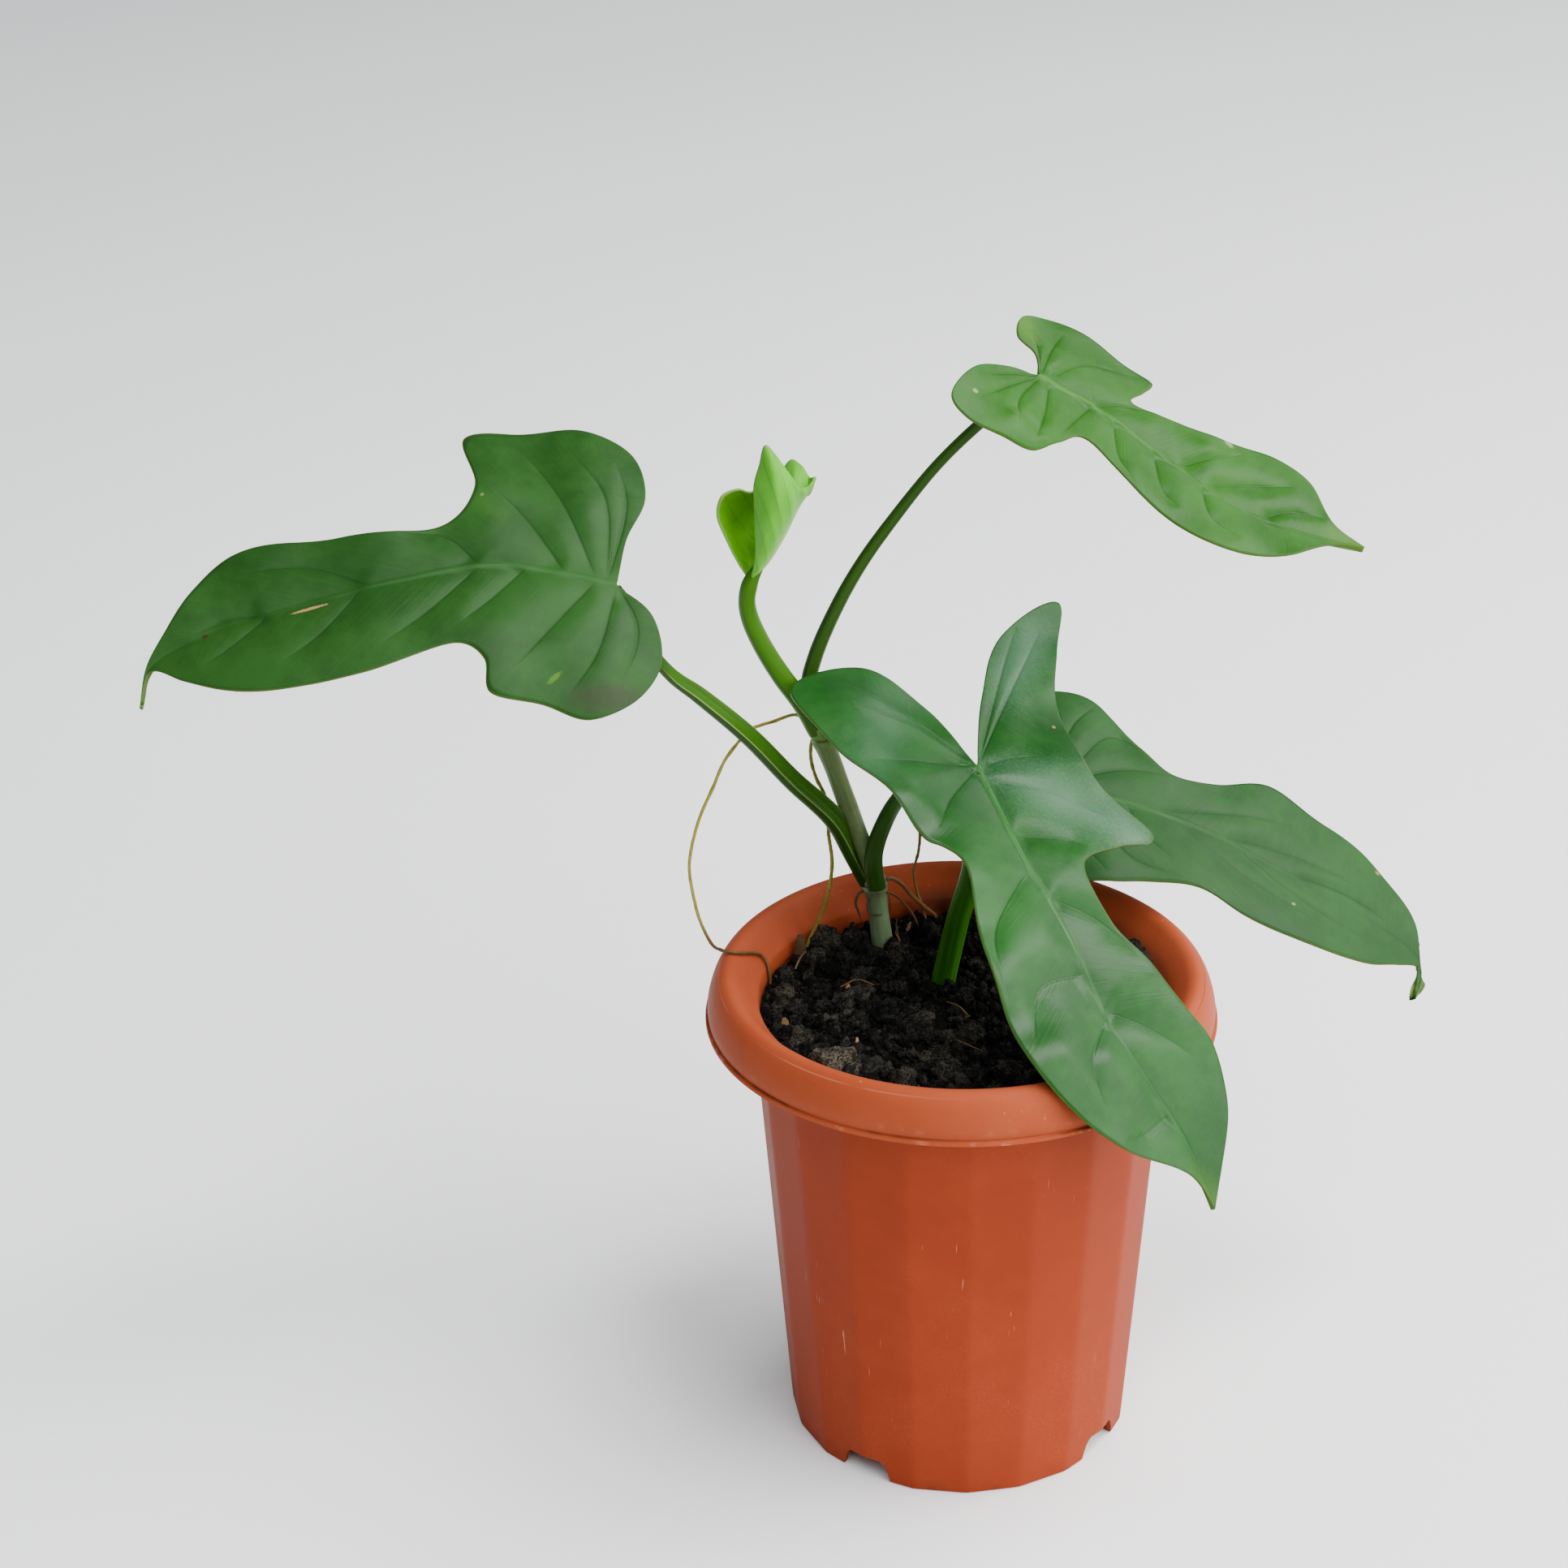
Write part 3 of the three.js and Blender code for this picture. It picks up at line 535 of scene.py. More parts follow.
def add_tube(bm, path, rings, sides, facing=(0, -1, 0.2), form=None):
    """Skin a grid round a smooth path of x, y, z and radius; its UVs run along it and round it."""
    line = smooth_line(path)
    shares = np.linspace(0, 1, rings + 1)
    places = read_line(line, shares)
    ways = np.gradient(places[:, :3], axis=0)
    bm.loops.layers.uv.verify()
    made = bmesh.ops.create_grid(bm, x_segments=rings, y_segments=sides, size=1, calc_uvs=True)["verts"]
    up = Vector(facing)
    frames = []
    for way in ways:
        along = Vector(way).normalized()
        up = (up - along * up.dot(along)).normalized()
        frames.append((up.copy(), along.cross(up)))
    for vert in made:
        ring = round((vert.co.x + 1) / 2 * rings)
        angle = (vert.co.y + 1) * math.pi
        up, side = frames[ring]
        x, y, z, radius = places[ring]
        if form:
            radius = form(radius, shares[ring], min(angle, 2 * math.pi - angle), angle, z)
        vert.co = Vector((x, y, z)) + (up * math.cos(angle) + side * math.sin(angle)) * radius
    bmesh.ops.remove_doubles(bm, verts=made, dist=1e-5)
    made = [vert for vert in made if vert.is_valid]
    ends = {edge for vert in made for edge in vert.link_edges if edge.is_boundary}
    bmesh.ops.holes_fill(bm, edges=list(ends))
    return made


def add_tubes(name, slot, skin, paths, rings, sides, *nodes, facing=(0, -1, 0.2), form=None):
    """Put one piece of one or more tubes into the frame."""
    bm = bmesh.new()
    for path in paths:
        add_tube(bm, path, rings, sides, facing, form)
    bmesh.ops.recalc_face_normals(bm, faces=bm.faces)
    add_piece(name, bm, slot, [skin], *nodes)


def bell(gap, width):
    return math.exp(-((gap / width) ** 2))


def stem_form(radius, share, turn, angle, z):
    """Bulge under each node, the sunken scar line over it, and slight lengthwise ribs."""
    for node in (LOWER_NODE, UPPER_NODE):
        radius += 0.28 * bell(z - node + 1.3, 1.2)
        radius -= 0.3 * bell(z - node - SCAR_RISE, 0.45)
    uneven = noise.noise((math.cos(angle), math.sin(angle), z / 9))
    return radius + 0.05 * math.sin(7 * angle) + 0.12 * uneven


def unrolled(place):
    """A piece's own UVs, which come from the same node as its place."""
    return place.node.outputs["UV"]


# Fine lines and long unevenness along a stem, stalk or root, laid on its own length and girth
streaks, given = new_group("Streaks", ["Vector", "Count", "Length"])
parts = split(given["Vector"])
circle = times(parts[1], 2 * math.pi)
ring_place = add_node(streaks, "CombineXYZ", {
    0: times(calculate("SINE", circle), given["Count"]),
    1: times(calculate("COSINE", circle), given["Count"]),
    2: times(parts[0], given["Length"]),
})
end_group(cloud(ring_place.outputs[0], 1.0, 3.0, 0.6))

stem_skin, place = new_material("stem_bark", specular=0.2)
height_above = split(place)[2]
along = use_group(streaks, Vector=unrolled(place), Count=3.0, Length=9.0)
patches = use_group(mottle, Vector=place, Scale=90.0)
wavering = plus(height_above, span(cloud(place, 260.0), 0.3, 0.7, -0.0005, 0.0005))
low_green = blend(along, (0.078, 0.134, 0.054), (0.175, 0.245, 0.125))
high_green = blend(along, (0.058, 0.108, 0.026), (0.140, 0.200, 0.064))
fresh = blend(along, (0.040, 0.14, 0.004), (0.085, 0.22, 0.010))
colour = blend(span(height_above, 0.1895, 0.191), low_green, high_green)
# A brownish flush down one side of the upper part
round_share = split(unrolled(place))[1]
flush = times(span(height_above, 0.192, 0.2), span(round_share, 0.16, 0.3))
flush = times(flush, span(round_share, 0.55, 0.4))
colour = paint(colour, flush, 0.4, (0.13, 0.08, 0.04))
colour = blend(span(wavering, 0.2445, 0.2455), colour, fresh)
for node in (LOWER_NODE, UPPER_NODE):
    gap = gap_between(wavering, (node + SCAR_RISE) / 1000)
    colour = blend(span(gap, 0.0007, 0.0002, 0, 0.9), colour, (0.05, 0.02, 0.007))
lenticels = use_group(specks, Vector=place, Scale=650.0, Share=0.05, Size=0.32)
colour = paint(colour, lenticels, 0.75, (0.30, 0.26, 0.14))
red_dots = use_group(specks, Vector=place, Scale=820.0, Share=0.035, Size=0.34)
colour = paint(colour, red_dots, 0.7, (0.09, 0.02, 0.008))
colour = blend(span(patches, 0.45, 0.62, 0.0, 0.2), colour, (0.22, 0.28, 0.18))
relief = plus(along, times(lenticels, 0.6))
set_surface(colour, relief, 0.5, 0.0004, span(patches, 0.3, 0.7, 0.38, 0.55))
add_tubes("stem_body", "stem", stem_skin, [STEM], 150, 40, "stem", form=stem_form)

hair_skin, place = new_material("dry_hair", roughness=0.7)
set_surface(blend(cloud(place, 400.0), (0.02, 0.012, 0.008), (0.09, 0.04, 0.02)))
HAIRS = [
    [(-30.8, 46.6, 184, 0.3), (-31.6, 45.7, 181, 0.32), (-30.6, 45.4, 178.6, 0.32), (-28.4, 45.6, 177.8, 0.3),
     (-26, 46.6, 177.4, 0.26), (-24.4, 48.8, 178, 0.2)],
    [(-23.6, 48.6, 184, 0.2), (-23, 49, 180.5, 0.24), (-23.4, 49.4, 176.5, 0.2)],
    [(-20, 45, 166, 0.25), (-20.4, 45.4, 170, 0.26), (-21, 46, 173, 0.22), (-20.6, 46.4, 175.6, 0.16)],
    [(-31.5, 49, 186.5, 0.55), (-34.2, 48, 185.6, 0.5), (-35.6, 47.2, 182, 0.55), (-34.6, 46.8, 178.5, 0.42),
     (-33.6, 46.4, 175.5, 0.25)],
]
add_tubes("stem_hairs", "root", hair_skin, HAIRS, 22, 7)


# Leaf stalks
# Five fleshy green stalks, each drawn out from its node. The left one is a long open sheath: a bright green groove
# between two thin pale rims that end in a small tip. The front one rises straight out of the soil.
LEFT_STALK = [
    (-31, 51, 189, 3.6), (-36, 49, 201, 3.9), (-43, 47, 216, 3.8), (-58, 43, 234, 3.5), (-73, 40, 253, 3.3),
    (-90, 36, 271, 2.9), (-99, 33, 280, 2.4), (-109, 28, 297, 2.2), (-114.4, 22.6, 314, 2.0),
    (-115.8, 20.9, 318.3, 1.3),
]
RIGHT_STALK = [
    (-28, 45, 189, 3.3), (-29, 46, 202, 3.3), (-25, 50, 213, 3.1), (-19, 57, 220, 2.8), (-10, 63, 226, 2.6),
    (5, 68, 223, 2.5), (19, 71, 219, 2.4), (28, 70, 220, 2.2),
]
FRONT_STALK = [
    (-9, 20, 143, 4.3), (-5, 20, 165, 4.3), (0, 19, 190, 4.1), (5, 18, 211, 3.8), (6, 20, 231, 3.3),
    (7, 22.6, 241, 2.7), (7.4, 24, 245.2, 1.5),
]
TOP_STALK = [
    (-48, 56, 250, 2.8), (-51.5, 56, 264, 2.8), (-49, 56, 276, 2.7), (-41.5, 55.5, 294.5, 2.5),
    (-32.5, 55, 311.5, 2.3), (-20.5, 54, 329.5, 2.1), (-6, 51, 349.5, 1.9), (8, 49, 364.5, 1.9),
    (19.5, 48, 374.5, 1.9), (27.4, 45.2, 381.6, 1.4),
]
YOUNG_STALK = [
    (-48.3, 52, 248.6, 3.7), (-53.5, 52.5, 259, 3.7), (-60.5, 51.5, 270, 3.6), (-67, 49.5, 282.5, 3.4),
    (-71.5, 47.5, 294.5, 3.2), (-72.5, 46, 302, 3), (-71.4, 45.2, 308.5, 2.9), (-69.4, 44.8, 313, 2.2),
    (-66.4, 44.4, 317.4, 1.4), (-62.6, 44, 322.5, 0.7),
]
SHEATH_END = 0.72
RIM_TURN = 0.86


def sheath_form(radius, share, turn, angle, z):
    """Open groove with raised thin rims along the lower part of the left stalk."""
    fade = min(1.0, max(0.0, (SHEATH_END - share) / 0.12))
    fade = fade * fade * (3 - 2 * fade)
    groove = 0.5 * math.exp(-((turn / 0.62) ** 4)) * fade
    rim = 0.13 * bell(turn - RIM_TURN, 0.1) * min(1.0, fade * 1.6)
    return radius * (1 - groove + rim)


def front_form(radius, share, turn, angle, z):
    """Shallow groove between two faint ribs."""
    return radius * (1 - 0.05 * bell(turn, 0.6) + 0.01 * bell(turn - 0.95, 0.2))


def plain_form(radius, share, turn, angle, z):
    """Flattened front and faint ribs."""
    return radius * (1 - 0.08 * bell(turn, 0.5) + 0.015 * math.sin(5 * angle))


def stalk_material(name, dark, light, groove_colour, rim_turn):
    """Skin of one stalk; its groove, rims and back have their own greens."""
    material, place = new_material(name, specular=0.10)
    along = use_group(streaks, Vector=unrolled(place), Count=3.2, Length=5.0)
    patches = use_group(mottle, Vector=place, Scale=70.0)
    colour = blend(span(along, 0.3, 0.7), dark, light)
    colour = blend(span(patches, 0.35, 0.75, 0.0, 0.35), colour, light)
    parts = split(unrolled(place))
    half = gap_between(parts[1], 0.5)
    turn = times(minus(0.5, half), 2 * math.pi)
    if rim_turn:
        within = span(parts[0], SHEATH_END + 0.01, SHEATH_END - 0.06)
        groove = times(span(turn, rim_turn, rim_turn - 0.25), within)
        colour = blend(groove, colour, groove_colour)
        edge = gap_between(turn, rim_turn)
        rim = times(span(edge, 0.10, 0.02), within)
        colour = paint(colour, rim, 0.7, (0.17, 0.24, 0.06))
    else:
        colour = blend(span(turn, 1.2, 0.3, 0.0, 0.6), colour, groove_colour)
    flecks = use_group(specks, Vector=place, Scale=520.0, Share=0.05, Size=0.2)
    colour = paint(colour, flecks, 0.3, (0.16, 0.22, 0.06))
    set_surface(colour, along, 0.35, 0.0003, span(patches, 0.3, 0.7, 0.32, 0.44))
    return material


STALKS = [
    ("left", LEFT_STALK, 170, 56, (0.5, -0.6, 0.7), sheath_form, RIM_TURN,
     (0.007, 0.032, 0.002), (0.021, 0.066, 0.005), (0.022, 0.085, 0.001), "stalk"),
    ("right", RIGHT_STALK, 90, 32, (0, -1, 0.2), plain_form, None,
     (0.010, 0.036, 0.004), (0.026, 0.070, 0.010), (0.020, 0.066, 0.004), "stalk"),
    ("front", FRONT_STALK, 80, 40, (-0.2, -1, 0.3), front_form, None,
     (0.011, 0.078, 0.0014), (0.038, 0.175, 0.004), (0.0065, 0.054, 0.001), "stalk"),
    ("top", TOP_STALK, 130, 28, (0, -1, 0.4), plain_form, None,
     (0.006, 0.025, 0.001), (0.015, 0.050, 0.003), (0.018, 0.058, 0.002), "stalk"),
    ("young", YOUNG_STALK, 80, 36, (0.3, -1, 0.3), plain_form, None,
     (0.016, 0.072, 0.0006), (0.034, 0.112, 0.001), (0.030, 0.105, 0.0008), "young_stalk"),
]
for name, path, rings, sides, facing, form, rim_turn, dark, light, groove_colour, slot in STALKS:
    skin = stalk_material("skin_of_" + name + "_stalk", dark, light, groove_colour, rim_turn)
    add_tubes(
        "stalk_of_" + name + "_leaf", slot, skin, [path], rings, sides, "stalk_" + name, facing=facing, form=form
    )


# Grown leaves
# Four glossy leathery leaves, 0.8 mm thick, lobed like a horse's head or a fiddle, each sitting on the end of its
# stalk. Sunken veins run out from a pale midrib to a thin yellowish margin, and the tissue swells between them.
RIB_STARTS = [0, -0.4, -0.75, -1, -0.75, -0.4, 0, 0.08, 0.16, 0.3, 0.46, 0.62, 0.78, 0.92, 1]
LEAF_ROWS = 20 * (len(RIB_STARTS) - 1)
CELLS_ACROSS = 36
MIDRIB_CROWDING = 1.5
BLADE = 0.8
THIN_SHARE = 0.3
LEAF_FIELDS = ("rib_gap", "vein_side", "vein_near", "edge")
LEAVES = {
    "left": dict(
        joint=(-116, 20, 320), turn=(-173, -6, -40), length=159, arch=8, fold=0.12, curl=0.35, wave=0.8,
        midrib=[(0, 0), (39, -12), (73, -11), (108, -8), (140, -4), (159, 3), (164, 16)],
        lobe_veins=[(2, 32), (-4, -48)],
        margins=[
            [(0, 0), (-10, 13), (-10, 31), (1, 44), (17, 49), (31, 42), (48, 36), (48, 24), (55, 17),
             (88, 22), (120, 22), (135, 18), (148, 11), (159, 4), (164, 16)],
            [(0, 0), (-6, -17), (-15, -33), (-13, -52), (3, -64), (24, -66), (43, -66), (42, -44), (53, -31),
             (90, -31), (127, -32), (141, -22), (152, -9), (160, 2), (164, 16)],
        ],
        veins=[
            [(0, -6), (-8, -31), (-7, -50)], [(-1, -9), (-1, -34), (8, -55)], [(3, -8), (14, -35), (25, -60)],
            [(16, -9), (27, -29), (38, -45)], [(44, -14), (55, -26), (70, -29)], [(83, -11), (103, -22), (130, -24)],
            [(120, -6), (132, -8), (144, -5)], [(29, -8), (41, 0), (56, 11)], [(7, -1), (26, 16), (41, 30)],
            [(1, 5), (11, 26), (23, 40)], [(-1, 5), (-4, 18), (8, 44)], [(85, -10), (100, 4), (115, 13)],
            [(117, -7), (130, 2), (142, 8)], [(45, -12), (63, 2), (81, 13)],
        ],
    ),
    "top": dict(
        joint=(28, 45, 383), turn=(-16, -25, 18), length=123, arch=-3, fold=0.12, curl=0.5, wave=1,
        midrib=[(0, 0), (22, 1), (50, -4), (76, -9), (98, -7), (123, 0)],
        lobe_veins=[(-6, 20), (-13, -23)],
        margins=[
            [(0, 0), (-5, 8), (-13, 10), (-15, 21), (-4, 30), (18, 29.5), (34.5, 26.5), (33.5, 19.5), (31, 12),
             (50, 13), (69, 17), (83, 20), (97, 17), (110, 4), (123, 0)],
            [(0, 0), (-11, -5), (-20, -14), (-22, -31), (-14, -35), (-1, -35), (10, -33), (17, -23), (22, -16),
             (48, -25), (73, -30), (87, -27), (101, -19), (113, -5), (123, 0)],
        ],
        veins=[
            [(0, -1), (-11, -9), (-18, -17)], [(0, -3), (-9, -16), (-14, -26)], [(0, -3), (-2, -17), (3, -28)],
            [(3, -3), (8, -18), (9, -30)], [(20, -3), (17, -13), (15, -23)], [(0, 1), (-5, 10), (-11, 17)],
            [(0, 2), (-1, 14), (0, 25)], [(2, 2), (13, 18), (30, 26)], [(20, -1), (29, 8), (40, 11)],
            [(54, -8), (65, 6), (74, 15)], [(64, -9), (80, 3), (95, 12)], [(87, -10), (97, 1), (108, 4)],
            [(64, -10), (72, -18), (85, -22)], [(45, -8), (54, -18), (62, -22)], [(28, -5), (36, -15), (45, -22)],
        ],
    ),
    "front": dict(
        joint=(7, 25, 247), turn=(-59, -37, 0), length=176, arch=8, fold=0.15, curl=0.25, wave=1,
        midrib=[(0, 0), (33, -4), (73, -5), (114, -7), (150, 0), (176, 0)],
        lobe_veins=[(-46, 54), (-40, -28)],
        margins=[
            [(0, 0), (-26, 17), (-51, 42), (-61, 76), (-20, 45), (15, 36), (49, 43), (48, 29), (49, 14),
             (72, 12), (93, 17), (111, 21), (127, 24), (145, 20), (176, 0)],
            [(0, 0), (-28, -4), (-53, -16), (-53, -46), (-25, -46), (-2, -39), (22, -35), (27, -31), (35, -28),
             (73, -39), (111, -43), (131, -36), (148, -25), (164, -3), (176, 0)],
        ],
        veins=[
            [(-3, -6), (-10, -24), (-16, -40)], [(-2, -2), (-30, -14), (-52, -28)],
            [(-2, -1), (-24, -13), (-38, -31)], [(0, -3), (10, -18), (20, -29)], [(-1, 1), (-21, 24), (-52, 62)],
            [(-2, 1), (-30, 27), (-56, 53)], [(1, 1), (2, 17), (7, 27)], [(6, 0), (20, 19), (38, 34)],
            [(31, -4), (38, 12), (44, 18)], [(57, -6), (71, 8), (95, 16)], [(102, -11), (113, 5), (128, 16)],
            [(41, -12), (64, -31), (90, -40)], [(87, -10), (87, -25), (106, -39)],
            [(104, -12), (118, -22), (134, -25)], [(141, -2), (145, -12), (147, -23)],
        ],
    ),
    "right": dict(
        joint=(27, 70, 221), turn=(-12, -24, 25), length=160, arch=6, fold=0.12, curl=0.4, wave=0.8,
        midrib=[(0, 0), (37, 6), (65, 9), (99, 8), (135, 6), (159, 1), (162, -14)],
        lobe_veins=[(-2, 33), (3, -27)],
        margins=[
            [(0, 0), (-5, 11), (-12, 25), (-8, 40), (3, 46), (13, 46), (21, 42), (35, 33), (49, 26),
             (66, 32), (84, 42), (108, 38), (132, 30), (153, 15), (162, -14)],
            [(0, 0), (-5, -9), (-8, -24), (1, -38), (15, -41), (42, -31), (55, -24), (73, -18), (91, -20),
             (113, -19), (133, -15), (142, -12), (151, -6), (160, -1), (162, -14)],
        ],
        veins=[
            [(11, 5), (31, 19), (51, 26)], [(11, 9), (24, 33), (44, 28)], [(9, 10), (9, 30), (15, 46)],
            [(47, 8), (77, 22), (106, 31)], [(72, 8), (103, 16), (133, 17)], [(102, 8), (126, 11), (144, 9)],
            [(54, 6), (89, -4), (123, -7)], [(36, 5), (47, -5), (60, -11)], [(24, 4), (43, -17), (67, -17)],
            [(14, 2), (26, -18), (41, -29)], [(80, 6), (110, -1), (143, -4)],
        ],
    ),
}
# How each blade differs beyond its outline: depth and reach of its vein valleys, depth of the midrib's trough,
# puckers and the seed of its unevenness, and single rises and dents as along, across, radius and height
LEAF_RELIEF = {
    "left": dict(valley=1.35, reach=4.6, trough=0.9, pucker=0.7, seed=3, rises=[]),
    "top": dict(
        valley=1.15, reach=3.6, trough=0.9, pucker=0.8, seed=11,
        rises=[(0, -24, 3.5, 0.9), (6, -19, 3, -0.9), (12, -26, 3.5, 0.8), (63, 9, 6, 1.3)],
    ),
    "front": dict(
        valley=1.5, reach=4.8, trough=1.2, pucker=1.1, seed=23,
        rises=[(118, -30, 17, 1.9), (121, -9, 17, 2.0)],
    ),
    "right": dict(valley=0.8, reach=4.2, trough=0.8, pucker=0.5, seed=31, rises=[]),
}


def gap_to_line(flat, points):
    """Signed gap from each flat place to a smooth line, and the share along the line."""
    line = smooth_line(points, 8)[0]
    starts, steps = line[:-1], np.diff(line, axis=0)
    away = flat[:, None, :] - starts[None]
    shares = np.clip((away * steps).sum(2) / (steps ** 2).sum(1), 0, 1)
    away = away - shares[..., None] * steps
    gaps = np.linalg.norm(away, axis=2)
    best = gaps.argmin(axis=1)
    rows = np.arange(len(flat))
    turned = steps[best, 0] * away[rows, best, 1] - steps[best, 1] * away[rows, best, 0]
    return np.where(turned < 0, -1, 1) * gaps[rows, best], (best + shares[rows, best]) / len(steps)


def leaf_half(leaf, side):
    """Flat places of one half's grid, with the share along the margin and across from the midrib."""
    along = np.linspace(0, 1, LEAF_ROWS + 1)
    starts = np.interp(along, np.linspace(0, 1, len(RIB_STARTS)), RIB_STARTS)
    midrib = smooth_line(leaf["midrib"])
    root = read_line(midrib, np.maximum(starts, 0), by_length=True)
    lobe = np.maximum(-starts, 0)[:, None] * np.array(leaf["lobe_veins"][side], float)
    root = np.where(starts[:, None] < 0, lobe, root)
    edge = read_line(smooth_line(leaf["margins"][side]), along)
    across = np.linspace(0, 1, CELLS_ACROSS + 1) ** MIDRIB_CROWDING
    return root[:, None] + (edge - root)[:, None] * across[None, :, None]


def leaf_height(name, leaf, flat):
    """Height of the upper face over the leaf's plane, and the fields that its colours follow."""
    relief = LEAF_RELIEF[name]
    x, y = flat.T
    midrib = smooth_line(leaf["midrib"])[0]
    off_axis = y - np.interp(x, midrib[:, 0], midrib[:, 1]) * (x > 0)
    t = np.clip(x / leaf["length"], -0.35, 1.1)
    wave = np.minimum(1, (y / 30) ** 2) * np.sin(x / 6 + np.where(y > 0, 0, 1.5))
    height = leaf["arch"] * 4 * t * (1 - t) + leaf["fold"] * (np.sqrt(off_axis ** 2 + 4) - 2)
    height += leaf["wave"] * wave - leaf["curl"] * y * y / 100
    rib_gap, rib_share = gap_to_line(flat, leaf["midrib"])
    rib_gap = np.abs(rib_gap)
    rib_half = 1.7 - 1.35 * rib_share
    ridge = 0.45 * np.clip((0.72 - rib_share) / 0.45, 0, 1)
    near_side = np.full(len(flat), 50.0)
    near_fade = np.zeros(len(flat))
    valleys = np.zeros(len(flat))
    for vein in leaf["veins"]:
        start = midrib[np.hypot(*(midrib - vein[0]).T).argmin()]
        side, share = gap_to_line(flat, [start, *vein[1:]])
        leaving = np.clip(share / 0.14, 0, 1)
        fade = np.clip((1 - share) / 0.4, 0, 1) * leaving ** 2 * (3 - 2 * leaving)
        valleys += (fade * np.exp(-np.sqrt(side ** 2 + 0.12) / relief["reach"])) ** 4
        closer = np.abs(side) < np.abs(near_side)
        near_side = np.where(closer, side, near_side)
        near_fade = np.where(closer, fade, near_fade)
    height -= relief["valley"] * valleys ** 0.25
    height -= relief["trough"] * np.exp(-np.sqrt(rib_gap ** 2 + 0.3) / 3.4) * (1 - 0.3 * rib_share)
    height += ridge * np.exp(-((rib_gap / (0.62 * rib_half)) ** 2))
    for along, across, radius, rise in relief["rises"]:
        height += rise * np.exp(-((x - along) ** 2 + (y - across) ** 2) / radius ** 2)
    puckers = [
        noise.noise((a / 24, b / 24, relief["seed"])) + 0.12 * noise.noise((a / 9, b / 9, relief["seed"] + 7))
        for a, b in flat
    ]
    height += relief["pucker"] * np.array(puckers)
    near = near_fade * np.exp(-((near_side / 2.2) ** 2))
    return height + BLADE / 2, rib_gap / rib_half, near_side, near


def add_leaf(name, skins):
    """Two grids meet along the midrib, take the leaf's outline, bow, veins and puckers, and thicken to its blade.

    The blade is thickest along the midrib, and THIN_SHARE of that elsewhere.
    """
    leaf = LEAVES[name]
    bm = bmesh.new()
    ribs_map = bm.loops.layers.uv.new("ribs")
    flat_map = bm.loops.layers.uv.new("flat")
    layers = [bm.verts.layers.float.new(key) for key in LEAF_FIELDS]
    keel = bm.verts.layers.deform.verify()
    for half in (0, 1):
        grid = bmesh.ops.create_grid(bm, x_segments=LEAF_ROWS, y_segments=CELLS_ACROSS, size=1)["verts"]
        spots = [(round((v.co.x + 1) / 2 * LEAF_ROWS), round((v.co.y + 1) / 2 * CELLS_ACROSS)) for v in grid]
        flat = leaf_half(leaf, half)
        flat = np.array([flat[spot] for spot in spots])
        height, rib_gap, vein_side, vein_near = leaf_height(name, leaf, flat)
        labels = {}
        for k, vert in enumerate(grid):
            vert.co = (*flat[k], height[k])
            edge = (spots[k][1] / CELLS_ACROSS) ** MIDRIB_CROWDING
            for layer, value in zip(layers, (rib_gap[k], vein_side[k], vein_near[k], edge)):
                vert[layer] = value
            vert[keel][0] = THIN_SHARE + (1 - THIN_SHARE) * bell(rib_gap[k], 1.2)
            labels[vert] = (spots[k][0] / LEAF_ROWS, edge * (1 if half else -1))
        for face in {face for vert in grid for face in vert.link_faces}:
            for loop in face.loops:
                loop[ribs_map].uv = labels[loop.vert]
                loop[flat_map].uv = loop.vert.co.xy
    bmesh.ops.remove_doubles(bm, verts=bm.verts, dist=2e-3)
    bmesh.ops.dissolve_degenerate(bm, edges=bm.edges, dist=1e-4)
    bm.normal_update()
    down = [face for face in bm.faces if face.normal.z < 0]
    bmesh.ops.reverse_faces(bm, faces=down)
    heading, pitch, roll = leaf["turn"]
    turn = turned(heading, "Z") @ turned(-pitch, "Y") @ turned(roll, "X")
    bmesh.ops.transform(bm, matrix=Matrix.Translation(leaf["joint"]) @ turn, verts=bm.verts)
    piece = add_piece("blade_of_" + name + "_leaf", bm, "leaf", skins, "leaf_" + name, sharp=180)
    piece.vertex_groups.new(name="keel")
    thick = piece.modifiers.new("blade", "SOLIDIFY")
    thick.thickness = BLADE / 1000 / THIN_SHARE
    thick.offset = -1
    thick.vertex_group = "keel"
    thick.material_offset = 1


# One healed scar, spot or patch at a place on the flat blade, with a wavering outline
MARK_SHAPE = ("Along", "Across", "Length", "Width", "Turn", "Softness")
mark, given = new_group("Mark", ["Vector", *MARK_SHAPE])
centre = add_node(mark, "CombineXYZ", {0: given["Along"], 1: given["Across"]}).outputs[0]
offset = add_node(mark, "VectorMath", {0: given["Vector"], 1: centre}, operation="SUBTRACT").outputs[0]
spun = add_node(mark, "VectorRotate", {"Vector": offset, "Angle": given["Turn"]}, rotation_type="Z_AXIS").outputs[0]
size = add_node(mark, "CombineXYZ", {0: given["Length"], 1: given["Width"], 2: 1.0}).outputs[0]
scaled = add_node(mark, "VectorMath", {0: spun, 1: size}, operation="DIVIDE").outputs[0]
waver = span(cloud(given["Vector"], 0.9), 0.2, 0.8, -0.35, 0.35, "LINEAR")
end_group(span(plus(length_of(scaled), waver), plus(1.0, given["Softness"]), minus(1.0, given["Softness"])))

BROWN = (0.035, 0.014, 0.004)
TAN = (0.30, 0.17, 0.07)
LIME = (0.045, 0.13, 0.006)
PALE = (0.16, 0.24, 0.07)
SMUDGE = (0.020, 0.026, 0.010)
# Pale bluish green of a waxy bloom, used for painted sheen on the front leaf
SHEEN_AND_BLOOM = (0.095, 0.19, 0.12)
